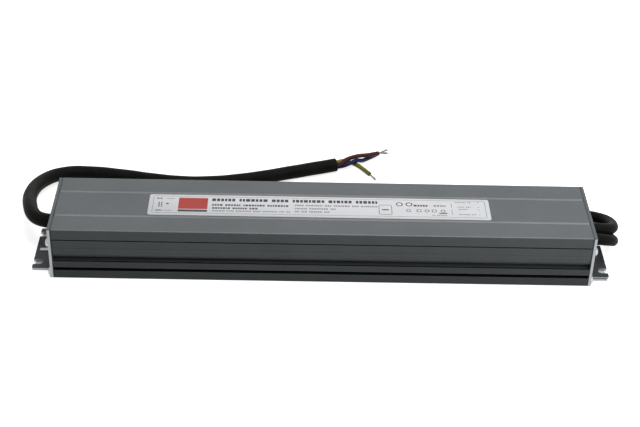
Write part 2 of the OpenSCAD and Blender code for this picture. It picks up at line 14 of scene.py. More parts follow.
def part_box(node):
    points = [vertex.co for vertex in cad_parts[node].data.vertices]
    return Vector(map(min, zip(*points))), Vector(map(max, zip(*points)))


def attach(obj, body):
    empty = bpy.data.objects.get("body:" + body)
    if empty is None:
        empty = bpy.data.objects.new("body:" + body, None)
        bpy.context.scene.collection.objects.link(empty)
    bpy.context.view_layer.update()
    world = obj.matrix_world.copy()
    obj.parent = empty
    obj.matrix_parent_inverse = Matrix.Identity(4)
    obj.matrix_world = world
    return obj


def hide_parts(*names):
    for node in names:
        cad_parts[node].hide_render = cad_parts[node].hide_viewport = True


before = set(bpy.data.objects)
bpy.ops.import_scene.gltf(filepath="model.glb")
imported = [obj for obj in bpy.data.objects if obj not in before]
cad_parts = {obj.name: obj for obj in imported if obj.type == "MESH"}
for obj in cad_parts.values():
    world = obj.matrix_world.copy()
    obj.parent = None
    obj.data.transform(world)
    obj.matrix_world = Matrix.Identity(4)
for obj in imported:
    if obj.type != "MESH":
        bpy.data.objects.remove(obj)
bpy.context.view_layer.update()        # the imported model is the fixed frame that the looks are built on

MM = 0.001
TURN = 2 * math.pi
log = logging.getLogger("power_supply")


class Slot(Enum):
    """The names of the record's material slots, which are handed to each new piece."""

    CASE = "case_coating"
    PLATE = "plate_coating"
    SCREW = "screw_steel"
    LABEL = "label_film"
    SHEATH = "sheath_rubber"
    BROWN = "core_brown"
    BLUE = "core_blue"
    EARTH = "core_green_yellow"
    TINNED = "tinned_copper"
    OUTPUT = "output_core"


class Side(Enum):
    """The two ends of the case, by the way along X."""

    LEFT = -1
    RIGHT = 1

    @property
    def word(self) -> str:
        """The end's word in the names of nodes and pieces."""
        return self.name.lower()


class Axis(Enum):
    """An axis of the object, by its place in a point."""

    X = 0
    Y = 1
    Z = 2


def linear(code: str) -> tuple[float, float, float, float]:
    """Turns an sRGB hex colour to linear light.

    Args:
        code: the colour, such as #6b7072

    Returns:
        Linear red, green and blue, and a full alpha.
    """
    srgb = np.array([int(code[i:i + 2], 16) for i in (1, 3, 5)]) / 255
    rgb = np.where(srgb <= 0.04045, srgb / 12.92, ((srgb + 0.055) / 1.055) ** 2.4)
    return (*rgb.tolist(), 1.0)


def add(tree: bpy.types.NodeTree, kind: str, inputs: dict | None = None, out: str | int | None = None,
        **settings) -> bpy.types.NodeSocket:
    """Adds a shader node with its settings and links.

    Args:
        tree: the node tree that it goes into
        kind: the node's type, without the word ShaderNode
        inputs: by socket name or number, an output socket to link or a value to set
        out: the output to give back, by name or number, or None for the first that is in use
        **settings: the node's own properties

    Returns:
        That output socket.
    """
    made = tree.nodes.new("ShaderNode" + kind)
    for name, value in settings.items():
        setattr(made, name, value)
    for key, value in (inputs or {}).items():
        if isinstance(value, bpy.types.NodeSocket):
            tree.links.new(value, made.inputs[key])
        else:
            made.inputs[key].default_value = value
    return next(s for s in made.outputs if s.enabled) if out is None else made.outputs[out]


@dataclass(frozen=True)
class Finish:
    """A surface as it was made: its colour, its gloss, and in pattern() what varies over it."""

    name: str
    colour: str
    roughness: float
    metallic: float = 0.0
    specular: float = 0.5

    def material(self) -> bpy.types.Material:
        """The finish as a material, which is made the first time it is asked for.

        Returns:
            The material.
        """
        made = bpy.data.materials.get(self.name)
        if made is None:
            made = bpy.data.materials.new(self.name)
            made.use_nodes = True
            tree = made.node_tree
            shader = tree.nodes["Principled BSDF"].inputs
            shader["Base Color"].default_value = linear(self.colour)
            shader["Roughness"].default_value = self.roughness
            shader["Metallic"].default_value = self.metallic
            shader["Specular IOR Level"].default_value = self.specular
            place = add(tree, "VectorMath", {0: add(tree, "TexCoord", out="Object"), "Scale": 1 / MM},
                        operation="SCALE")
            for name, value in self.pattern(tree, place).items():
                tree.links.new(value, shader[name])
        return made

    def pattern(self, tree: bpy.types.NodeTree, place: bpy.types.NodeSocket) -> dict:
        """Draws what varies over the surface.

        Args:
            tree: the material's node tree
            place: a point's place on the object, in millimetres

        Returns:
            By the shader's input, the socket that drives it.
        """
        raise NotImplementedError

    def clouded(self, tree: bpy.types.NodeTree, place: bpy.types.NodeSocket, size: float, most: float,
                shade: str, base: bpy.types.NodeSocket | None = None, detail: float = 2.0,
                between: tuple[float, float] = (0.35, 0.65)
                ) -> tuple[bpy.types.NodeSocket, bpy.types.NodeSocket]:
        """Clouds a colour with a shade that comes and goes with a noise.

        The share of the shade grows evenly from none to the most, while the noise grows from the
        first of two levels to the second.

        Args:
            tree: the material's node tree
            place: a point's place, in millimetres or as the noise is drawn out
            size: the size of the noise, in the same unit
            most: the greatest share of the shade
            shade: the shade
            base: the colour below it, or None for the finish's own
            detail: how far the noise goes into finer layers
            between: the two levels of the noise

        Returns:
            The noise and the clouded colour.
        """
        noise = add(tree, "TexNoise", {"Vector": place, "Scale": 1 / size, "Detail": detail})
        share = add(tree, "MapRange", {0: noise, 1: between[0], 2: between[1], 3: 0.0, 4: most})
        below = linear(self.colour) if base is None else base
        return noise, add(tree, "Mix", {0: share, 6: below, 7: linear(shade)}, data_type="RGBA")


@dataclass(frozen=True)
class PowderCoat(Finish):
    """Polyester powder baked on aluminium: satin, with a fine orange peel and specks of a darker tone."""

    shade: str = "#606567"
    shade_most: float = 0.4
    speck: float = 0.7
    speck_most: float = 0.35
    peel: float = 1.1
    peel_depth: float = 0.012
    drift: float = 34.0
    gloss_drift: tuple[float, float] = (-0.03, 0.04)

    def pattern(self, tree: bpy.types.NodeTree, place: bpy.types.NodeSocket) -> dict:
        """A slow drift of tone and gloss, fine specks of a darker tone, and the orange peel as a bump.

        Args:
            tree: the material's node tree
            place: a point's place on the object, in millimetres

        Returns:
            By the shader's input, the socket that drives it.
        """
        slow, shaded = self.clouded(tree, place, self.drift, self.shade_most, self.shade)
        _, colour = self.clouded(tree, place, self.speck, self.speck_most, self.shade, shaded, detail=1.0)
        low, high = (self.roughness + by for by in self.gloss_drift)
        gloss = add(tree, "MapRange", {0: slow, 1: 0.3, 2: 0.7, 3: low, 4: high})
        peel = add(tree, "TexNoise", {"Vector": place, "Scale": 1 / self.peel})
        normal = add(tree, "Bump", {"Height": peel, "Distance": self.peel_depth * MM})
        return {"Base Color": colour, "Roughness": gloss, "Normal": normal}


@dataclass(frozen=True)
class FinnedCoat(PowderCoat):
    """The same powder on the finned extrusion.

    The die's lines show through it, lengthwise. Shade is painted into its colour: the thin line and
    the gaps below the fins go dark, the ledges on top of the fins darken towards their edge, and the
    fins and the flange darken a little all over.
    """

    half_width: float = 29.75
    gap_depths: tuple[float, float] = (0.4, 0.05)
    gap_floor: tuple[float, float] = (1.0, 3.0)
    gap_roof: tuple[float, float] = (8.5, 8.9)
    gap_shade_share: float = 0.97
    ledge_z: float = 13.2
    ledge_half: float = 0.3
    ledge_y: tuple[float, float] = (28.0, 28.85)
    ledge_shade_share: float = 1.0
    flange_top: float = 6.4
    fin_low: float = 8.4
    fin_top: tuple[float, float] = (13.4, 14.2)
    fin_shade_share: float = 0.34
    flange_shade_share: float = 0.46
    line_z: float = 28.95
    line_half: float = 0.5
    line_depths: tuple[float, float] = (0.12, 0.03)
    line_shade_share: float = 0.85
    # The dark tone of the painted shade.
    painted_shade_tone: str = "#191c1e"
    die_gap: float = 0.8
    die_length: float = 500.0
    die_depth: float = 0.004

    def pattern(self, tree: bpy.types.NodeTree, place: bpy.types.NodeSocket) -> dict:
        """The powder, then painted shade in the gaps, on the ledges, on the fins and in the thin line.

        Each share is the product of its factors, which run from 0 to 1 or to the share itself between
        two places. Where two shares meet, the greater holds. The die's lines are a noise drawn out
        along X.

        Args:
            tree: the material's node tree
            place: a point's place on the object, in millimetres

        Returns:
            By the shader's input, the socket that drives it.
        """
        made = PowderCoat.pattern(self, tree, place)
        across = add(tree, "SeparateXYZ", {0: place}, out=1)
        height = add(tree, "SeparateXYZ", {0: place}, out=2)
        side = add(tree, "Math", {0: across}, operation="ABSOLUTE")
        gap_wall, line_wall = ((self.half_width - a, self.half_width - b)
                               for a, b in (self.gap_depths, self.line_depths))
        # The painted shade: in the gap below the fins, on the ledges, on the fins and flange, and in the thin
        # line.
        # A factor of four runs from one value to another between two places, and one of three is 1
        # round a place and 0 elsewhere.
        painted_shade_parts = (
            ((side, gap_wall, self.gap_shade_share, 0.0), (height, self.gap_floor, 0.0, 1.0),
             (height, self.gap_roof, 1.0, 0.0)),
            ((side, self.ledge_y, 0.0, self.ledge_shade_share), (height, self.ledge_z, self.ledge_half)),
            ((height, (self.flange_top, self.fin_low), self.flange_shade_share, self.fin_shade_share),
             (height, self.fin_top, 1.0, 0.0)),
            ((side, line_wall, self.line_shade_share, 0.0), (height, self.line_z, self.line_half)))
        share: bpy.types.NodeSocket | float = 0.0
        for factors in painted_shade_parts:
            part: bpy.types.NodeSocket | float = 1.0
            for value, place_at, *ends in factors:
                if len(ends) == 2:
                    factor = add(tree, "MapRange", {0: value, 1: place_at[0], 2: place_at[1], 3: ends[0],
                                                    4: ends[1]})
                else:
                    factor = add(tree, "Math", {0: value, 1: place_at, 2: ends[0]}, operation="COMPARE")
                part = add(tree, "Math", {0: part, 1: factor}, operation="MULTIPLY")
            share = add(tree, "Math", {0: share, 1: part}, operation="MAXIMUM")
        # Shade painted into the colour: the coat mixes towards the dark tone by the share.
        made["Base Color"] = add(tree, "Mix", {0: share, 6: made["Base Color"], 7: linear(self.painted_shade_tone)},
                                 data_type="RGBA")
        spread = add(tree, "Mapping", {"Vector": place, "Scale": (1 / self.die_length, 1 / self.die_gap,
                                                                  1 / self.die_gap)})
        lines = add(tree, "TexNoise", {"Vector": spread, "Scale": 1.0, "Detail": 3.0})
        made["Normal"] = add(tree, "Bump", {"Height": lines, "Distance": self.die_depth * MM,
                                            "Normal": made["Normal"]})
        return made


@dataclass(frozen=True)
class FootedCoat(PowderCoat):
    """The powder on a bent sheet, with painted shade that darkens the low foot."""

    bend_top: float = 2.6
    fade: float = 4.0
    foot_shade_share: float = 0.34
    # The dark tone of the painted shade.
    painted_shade_tone: str = "#191c1e"

    def pattern(self, tree: bpy.types.NodeTree, place: bpy.types.NodeSocket) -> dict:
        """The powder, with a share of painted shade that grows from above the bend down to the foot.

        Args:
            tree: the material's node tree
            place: a point's place on the object, in millimetres

        Returns:
            By the shader's input, the socket that drives it.
        """
        made = PowderCoat.pattern(self, tree, place)
        height = add(tree, "SeparateXYZ", {0: place}, out=2)
        share = add(tree, "MapRange", {0: height, 1: self.bend_top, 2: self.bend_top + self.fade,
                                       3: self.foot_shade_share, 4: 0.0})
        # Shade painted into the colour, more of it towards the foot.
        made["Base Color"] = add(tree, "Mix", {0: share, 6: made["Base Color"], 7: linear(self.painted_shade_tone)},
                                 data_type="RGBA")
        return made


@dataclass(frozen=True)
class BrightMetal(Finish):
    """Bare metal with the marks of its making: drawn out one way, and finer than a fingernail feels.

    On the cut edge of a sheet they are the shear's drag marks, and on a screw or a wire the grain of
    its plating. They make the metal's mirror soft and a little uneven.
    """

    metallic: float = 1.0
    shade: str = "#8d9194"
    mark: float = 0.3
    drawn: tuple[float, float, float] = (1.0, 1.0, 1.0)
    depth: float = 0.006
    contrast: float = 0.8
    levels: tuple[float, float] = (0.3, 0.7)
    gloss_drift: tuple[float, float] = (-0.06, 0.08)

    def pattern(self, tree: bpy.types.NodeTree, place: bpy.types.NodeSocket) -> dict:
        """Marks drawn out one way, which shift the tone and the gloss and stand up as a fine bump.

        Args:
            tree: the material's node tree
            place: a point's place on the object, in millimetres

        Returns:
            By the shader's input, the socket that drives it.
        """
        scale = tuple(1 / (self.mark * k) for k in self.drawn)
        spread = add(tree, "Mapping", {"Vector": place, "Scale": scale})
        marks, colour = self.clouded(tree, spread, 1.0, self.contrast, self.shade, detail=3.0,
                                     between=self.levels)
        low, high = (self.roughness + by for by in self.gloss_drift)
        gloss = add(tree, "MapRange", {0: marks, 1: self.levels[0], 2: self.levels[1], 3: low, 4: high})
        normal = add(tree, "Bump", {"Height": marks, "Distance": self.depth * MM})
        return {"Base Color": colour, "Roughness": gloss, "Normal": normal}


@dataclass(frozen=True)
class Rubber(Finish):
    """Black rubber out of a mould or a die: near black, softly shiny, with a fine grain and some dust."""

    specular: float = 0.25
    dust: str = "#161514"
    dust_size: float = 9.0
    dust_most: float = 0.7
    dust_levels: tuple[float, float] = (0.42, 0.7)
    gloss_drift: tuple[float, float] = (-0.08, 0.1)
    grain: float = 0.35
    depth: float = 0.012

    def pattern(self, tree: bpy.types.NodeTree, place: bpy.types.NodeSocket) -> dict:
        """A film of dust in patches, paler and duller than the rubber, and the grain as a bump.

        Args:
            tree: the material's node tree
            place: a point's place on the object, in millimetres

        Returns:
            By the shader's input, the socket that drives it.
        """
        film, colour = self.clouded(tree, place, self.dust_size, self.dust_most, self.dust, detail=4.0,
                                    between=self.dust_levels)
        low, high = (self.roughness + by for by in self.gloss_drift)
        gloss = add(tree, "MapRange", {0: film, 1: 0.2, 2: 0.8, 3: low, 4: high})
        grain = add(tree, "TexNoise", {"Vector": place, "Scale": 1 / self.grain})
        normal = add(tree, "Bump", {"Height": grain, "Distance": self.depth * MM})
        return {"Base Color": colour, "Roughness": gloss, "Normal": normal}


@dataclass(frozen=True)
class Insulation(Finish):
    """Extruded PVC on a core: smooth and softly glossy, with a second colour as a stripe on one side."""

    stripe: str = ""
    stripe_share: float = 0.34
    stripe_blur: float = 0.02
    dull: str = "#141414"
    dull_size: float = 4.0
    dull_most: float = 0.2
    ripple: float = 0.8
    depth: float = 0.01

    def pattern(self, tree: bpy.types.NodeTree, place: bpy.types.NodeSocket) -> dict:
        """The stripe over the first share of the way round, a slow dulling, and a soft ripple as a bump.

        Args:
            tree: the material's node tree
            place: a point's place on the object, in millimetres

        Returns:
            By the shader's input, the socket that drives it.
        """
        base = None
        if self.stripe:
            around = add(tree, "SeparateXYZ", {0: add(tree, "UVMap", uv_map="UVMap")}, out=0)
            inside = add(tree, "MapRange", {0: around, 1: self.stripe_share,
                                            2: self.stripe_share + self.stripe_blur, 3: 1.0, 4: 0.0})
            base = add(tree, "Mix", {0: inside, 6: linear(self.colour), 7: linear(self.stripe)},
                       data_type="RGBA")
        _, colour = self.clouded(tree, place, self.dull_size, self.dull_most, self.dull, base)
        ripple = add(tree, "TexNoise", {"Vector": place, "Scale": 1 / self.ripple})
        normal = add(tree, "Bump", {"Height": ripple, "Distance": self.depth * MM})
        return {"Base Color": colour, "Normal": normal}


@dataclass(frozen=True)
class PrintedFilm(Finish):
    """A matt polyester label, or ink on it: flat and even, with a trace of the glue's ripple."""

    ripple: float = 5.0
    cloud: float = 20.0
    grey: str = "#8f9090"
    grey_most: float = 0.06
    depth: float = 0.012

    def pattern(self, tree: bpy.types.NodeTree, place: bpy.types.NodeSocket) -> dict:
        """A trace of grey that comes and goes slowly, and the ripple of the glue below as a bump.

        Args:
            tree: the material's node tree
            place: a point's place on the object, in millimetres

        Returns:
            By the shader's input, the socket that drives it.
        """
        _, colour = self.clouded(tree, place, self.cloud, self.grey_most, self.grey)
        wave = add(tree, "TexNoise", {"Vector": place, "Scale": 1 / self.ripple})
        normal = add(tree, "Bump", {"Height": wave, "Distance": self.depth * MM})
        return {"Base Color": colour, "Normal": normal}


@dataclass(frozen=True)
class Speckled(Finish):
    """A dull moulded, sintered or cast body: even in colour, with specks and a fine grain."""

    shade: str = "#303030"
    shade_most: float = 0.8
    grain: float = 0.4
    depth: float = 0.01

    def pattern(self, tree: bpy.types.NodeTree, place: bpy.types.NodeSocket) -> dict:
        """A grain that mixes the colour with its shade and stands up a little.

        Args:
            tree: the material's node tree
            place: a point's place on the object, in millimetres

        Returns:
            By the shader's input, the socket that drives it.
        """
        grain, colour = self.clouded(tree, place, self.grain, self.shade_most, self.shade, detail=4.0)
        normal = add(tree, "Bump", {"Height": grain, "Distance": self.depth * MM})
        return {"Base Color": colour, "Normal": normal}


@dataclass(frozen=True)
class Laminate(Finish):
    """Glass-epoxy board under a green solder mask, glossy, with wide tracks that stand up under it."""

    track: str = "#3f7a4b"
    track_w: float = 2.6
    track_l: float = 23.0
    between: float = 0.35
    slope: float = 0.1
    depth: float = 0.035

    def pattern(self, tree: bpy.types.NodeTree, place: bpy.types.NodeSocket) -> dict:
        """Tracks as the bricks of a wall, with the mask's darker green and a step down between them.

        Args:
            tree: the material's node tree
            place: a point's place on the object, in millimetres

        Returns:
            By the shader's input, the socket that drives it.
        """
        layout = {"Vector": place, "Scale": 1.0, "Brick Width": self.track_l, "Row Height": self.track_w,
                  "Mortar Size": self.between, "Mortar Smooth": self.slope, "Color1": linear(self.track),
                  "Color2": linear(self.track), "Mortar": linear(self.colour)}
        colour = add(tree, "TexBrick", layout, out="Color")
        normal = add(tree, "Bump", {"Height": add(tree, "TexBrick", layout, out="Fac"),
                                    "Distance": self.depth * MM}, invert=True)
        return {"Base Color": colour, "Normal": normal}


@dataclass(frozen=True)
class Winding(Finish):
    """Enamelled wire or tape in close turns: a ridge for each turn, and a darker line between two turns.

    The turns lie on top of each other along Z, or side by side round a ring's centre, where the pitch
    is taken at the ring's mean radius.
    """

    shade: str = "#5d3216"
    pitch: float = 0.9
    line_top: float = 0.2
    ring: tuple[float, float, float] | None = None
    depth: float = 0.08

    def pattern(self, tree: bpy.types.NodeTree, place: bpy.types.NodeSocket) -> dict:
        """A sine of the distance along the winding, whose length is the pitch, as a ridge and as a tone.

        Args:
            tree: the material's node tree
            place: a point's place on the object, in millimetres

        Returns:
            By the shader's input, the socket that drives it.
        """
        along = add(tree, "SeparateXYZ", {0: place}, out=2)
        if self.ring:
            x, y, radius = self.ring
            moved = add(tree, "VectorMath", {0: place, 1: (-x, -y, 0.0)}, operation="ADD")
            angle = add(tree, "Math", {0: add(tree, "SeparateXYZ", {0: moved}, out=1),
                                       1: add(tree, "SeparateXYZ", {0: moved}, out=0)}, operation="ARCTAN2")
            along = add(tree, "Math", {0: angle, 1: radius}, operation="MULTIPLY")
        phase = add(tree, "Math", {0: along, 1: TURN / self.pitch}, operation="MULTIPLY")
        ridge = add(tree, "Math", {0: phase}, operation="SINE")
        share = add(tree, "MapRange", {0: ridge, 1: -1.0, 2: self.line_top, 3: 1.0, 4: 0.0})
        colour = add(tree, "Mix", {0: share, 6: linear(self.colour), 7: linear(self.shade)}, data_type="RGBA")
        normal = add(tree, "Bump", {"Height": ridge, "Distance": self.depth * MM})
        return {"Base Color": colour, "Normal": normal}


@dataclass(frozen=True)
class Capped(Finish):
    """A body with bare metal beyond two planes: a fuse's caps, a capacitor's top, a component's legs."""

    axis: Axis = Axis.X
    low: float = 0.0
    high: float = 0.0
    metal: str = "#b9bcbe"
    shade: str = "#161616"
    shade_most: float = 0.3
    grain: float = 0.6
    depth: float = 0.01

    def pattern(self, tree: bpy.types.NodeTree, place: bpy.types.NodeSocket) -> dict:
        """Metal below the low plane and above the high one, and specks on the body between them.

        Args:
            tree: the material's node tree
            place: a point's place on the object, in millimetres

        Returns:
            By the shader's input, the socket that drives it.
        """
        at = add(tree, "SeparateXYZ", {0: place}, out=self.axis.value)
        below = add(tree, "Math", {0: at, 1: self.low}, operation="LESS_THAN")
        above = add(tree, "Math", {0: at, 1: self.high}, operation="GREATER_THAN")
        bare = add(tree, "Math", {0: below, 1: above}, operation="MAXIMUM")
        grain, body = self.clouded(tree, place, self.grain, self.shade_most, self.shade)
        colour = add(tree, "Mix", {0: bare, 6: body, 7: linear(self.metal)}, data_type="RGBA")
        normal = add(tree, "Bump", {"Height": grain, "Distance": self.depth * MM})
        return {"Base Color": colour, "Metallic": bare, "Normal": normal}


# Satin grey powder: even from afar, and alive with peel and specks close to. Its recesses, ledges
# and fins take painted shade.
CASE_COAT = FinnedCoat("grey_powder_coat_on_extrusion", "#6f7476", 0.4, specular=0.12)
# The same powder over the upper edges, glossier and painted paler: a painted highlight as a fine line.
EDGE_HIGHLIGHT_COAT = PowderCoat("glossy_coat_with_painted_highlight_on_edges", "#7d8284", 0.24, specular=0.5, peel_depth=0.003)
# In the narrow grooves it is painted paler still: two painted highlights as pale lines along the top.
GROOVE_HIGHLIGHT_COAT = PowderCoat("coat_with_painted_highlight_in_grooves", "#9a9ea0", 0.3, specular=0.15, shade="#84888a",
                         peel_depth=0.003)
# On the bent sheets the powder is a little rougher, and the feet take painted shade. The right foot
# stands in less light: it takes more painted shade, and its coat is a little duller.
PLATE_COAT = FootedCoat("grey_powder_coat_on_sheet", "#6b7072", 0.42, specular=0.12, foot_shade_share=0.27)
DULL_SHADED_PLATE_COAT = FootedCoat("dulled_powder_coat_with_painted_shade_on_sheet", "#6b7072", 0.46, specular=0.1, foot_shade_share=0.72)
# Sheared after it was coated, the sheet shows bare metal at its edges: pale, with soft drag marks.
CUT_EDGE = BrightMetal("sheared_aluminium_edge", "#9d9fa1", 0.34, shade="#85888a", mark=0.22,
                       drawn=(2.5, 1, 1))
# Zinc on steel: a bright but milky mirror.
SCREW_PLATING = BrightMetal("bright_zinc_plating", "#adb0b2", 0.26, shade="#85888b", mark=0.2,
                            depth=0.001, contrast=0.4)
# Tin over copper strands: grey metal with darker patches where it was touched.
TINNED = BrightMetal("tinned_copper_wire", "#8c8d8e", 0.3, shade="#5e5c5a")
# Dull black rubber with a broad faint sheen along the cord and dust in patches.
SHEATH = Rubber("extruded_rubber_sheath", "#121211", 0.56, specular=0.04, dust="#1f1e1c")
GROMMET_RUBBER = Rubber("moulded_grommet_rubber", "#131314", 0.55, specular=0.15)
# Grey and matt, so that it reads as a slightly darker seam between case and plate.
GASKET_RUBBER = Rubber("pressed_gasket_rubber", "#54585a", 0.7, specular=0.08, dust="#5a5e60")
# Matt white polyester and the inks on it, whose thin print hardly shines.
FILM = PrintedFilm("matt_label_film", "#dedfe2", 0.45, specular=0.25)
INK = PrintedFilm("dark_printing_ink", "#3a3c40", 0.5, specular=0.25)
PALE_INK = PrintedFilm("pale_printing_ink", "#8a8c90", 0.5, specular=0.25)
RED_INK = PrintedFilm("red_printing_ink", "#b33a34", 0.45, specular=0.25)
# Soft PVC in the colours of mains cores, with a small clear highlight along each.
BROWN_PVC = Insulation("brown_extruded_pvc", "#471b10", 0.38, specular=0.14)
BLUE_PVC = Insulation("blue_extruded_pvc", "#0c184e", 0.38, specular=0.14)
EARTH_PVC = Insulation("yellow_green_extruded_pvc", "#8a8a1c", 0.38, specular=0.14, stripe="#2f5a2c")
RED_PVC = Insulation("red_extruded_pvc", "#8e2220", 0.38, specular=0.25)
BLACK_PVC = Insulation("black_extruded_pvc", "#1c1c1d", 0.38, specular=0.25)


def grid_faces(rows: int, columns: int, closed: bool) -> np.ndarray:
    """The quads of a grid, whose points are counted row by row.

    Args:
        rows: number of rows
        columns: number of points in a row
        closed: True if each row closes into a ring

    Returns:
        Four point numbers for each quad. The quads face outwards where a row turns anticlockwise
        about the direction in which the rows follow each other.
    """
    i, k = np.meshgrid(np.arange(rows - 1), np.arange(columns if closed else columns - 1), indexing="ij")
    n = (k + 1) % columns
    return np.stack([i * columns + k, i * columns + n, (i + 1) * columns + n, (i + 1) * columns + k],
                    axis=-1).reshape(-1, 4)


@dataclass
class Shell:
    """The surfaces of one piece, gathered one by one, in millimetres."""

    points: list[np.ndarray] = field(default_factory=list)
    faces: list[list[int]] = field(default_factory=list)
    uvs: list[np.ndarray] = field(default_factory=list)
    marks: list[int] = field(default_factory=list)
    count: int = 0

    def rings(self, points: np.ndarray, along: np.ndarray | None = None, mark: int | np.ndarray = 0,
              start_cap: bool = True, end_cap: bool = True, loop: bool = False) -> int:
        """Adds a tube of closed rings, with a face across each end.

        Args:
            points: rows by columns by 3, each row a ring
            along: for each row, its distance along the tube, which becomes the second UV coordinate
            mark: number of the finish, or one for each column
            start_cap: True to close the first ring
            end_cap: True to close the last ring
            loop: True to join the last ring to the first, with no caps

        Returns:
            The number of its first point.
        """
        rows, columns = points.shape[:2]
        first = self.count
        if loop:
            rows += 1
        quads = grid_faces(rows, columns, True) % points[..., 0].size + first
        v = np.arange(rows, dtype=float) if along is None else np.asarray(along, float)
        i, k = np.meshgrid(np.arange(rows - 1), np.arange(columns), indexing="ij")
        left, right = k / columns, (k + 1) / columns
        uv = np.stack([np.stack([left, v[i]], -1), np.stack([right, v[i]], -1),
                       np.stack([right, v[i + 1]], -1), np.stack([left, v[i + 1]], -1)], -2)
        self.points.append(points.reshape(-1, 3))
        self.faces.extend(quads.tolist())
        self.uvs.append(uv.reshape(-1, 2))
        self.marks.extend(np.tile(np.broadcast_to(mark, columns), rows - 1).tolist())
        self.count += points[..., 0].size
        ring = np.arange(columns)
        if start_cap and not loop:
            self.face((first + ring[::-1]).tolist(), mark)
        if end_cap and not loop:
            self.face((first + (rows - 1) * columns + ring).tolist(), mark)
        return first

    def face(self, corners: list[int], mark: int = 0) -> None:
        """Adds one face over points that are there already.

        Args:
            corners: the numbers of its points
            mark: number of the finish
        """
        self.faces.append(corners)
        self.uvs.append(np.zeros((len(corners), 2)))
        self.marks.append(mark)

    def piece(self, name: str, finishes: Sequence[Finish], slot: Slot, nodes: Sequence[str] = (),
              crease: float = 35.0) -> bpy.types.Object:
        """Makes the piece.

        Args:
            name: its name
            finishes: its finishes, in the order of the marks
            slot: the material slot of the record, handed on to settle()
            nodes: the CAD nodes that it stands for
            crease: the angle between two faces past which the edge stays sharp, in degrees

        Returns:
            The object, which rides on the body.
        """
        mesh = bpy.data.meshes.new(name)
        mesh.from_pydata((np.concatenate(self.points) * MM).tolist(), [], self.faces)
        mesh.polygons.foreach_set("material_index", self.marks)
        mesh.polygons.foreach_set("use_smooth", [True] * len(self.faces))
        layer = mesh.uv_layers.new(name="UVMap")
        layer.data.foreach_set("uv", np.concatenate(self.uvs).ravel())
        mesh.set_sharp_from_angle(angle=math.radians(crease))
        mesh.validate()
        return settle(name, mesh, finishes, slot, nodes)


def settle(name: str, mesh: bpy.types.Mesh, finishes: Sequence[Finish], slot: Slot,
           nodes: Sequence[str]) -> bpy.types.Object:
    """Puts a mesh on the object as a piece.

    Args:
        name: the piece's name
        mesh: its mesh, in place
        finishes: its finishes
        slot: the material slot of the record; not used
        nodes: the CAD nodes that it stands for

    Returns:
        The object.
    """
    made = bpy.data.objects.new(name, mesh)
    bpy.context.scene.collection.objects.link(made)
    for finish in finishes:
        mesh.materials.append(finish.material())
    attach(made, "root")
    if nodes:
        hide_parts(*nodes)
    log.info("%s: %d faces", name, len(mesh.polygons))
    return made


def merged(node: str) -> bmesh.types.BMesh:
    """A copy of a CAD node's mesh with its loose triangles joined.

    Args:
        node: the CAD node

    Returns:
        The copy, in metres. The node's own mesh stays as it is.
    """
    copy = bmesh.new()
    copy.from_mesh(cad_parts[node].data)
    bmesh.ops.remove_doubles(copy, verts=copy.verts, dist=1e-6)
    return copy


def unit(vectors: np.ndarray) -> np.ndarray:
    """The vectors at length 1.

    Args:
        vectors: any number of them, along the last axis

    Returns:
        The same, each divided by its length.
    """
    return vectors / np.maximum(np.linalg.norm(vectors, axis=-1, keepdims=True), 1e-12)


def inset(outline: np.ndarray, depth: float) -> np.ndarray:
    """Moves a closed outline inwards, along the mean of the two sides' normals at each point.

    Args:
        outline: its points, two numbers each, with the inside at the left
        depth: how far they move

    Returns:
        The moved points.
    """
    on = unit(np.roll(outline, -1, axis=0) - outline)
    along = unit(on + np.roll(on, 1, axis=0))
    return outline + depth * np.stack([-along[:, 1], along[:, 0]], axis=1)


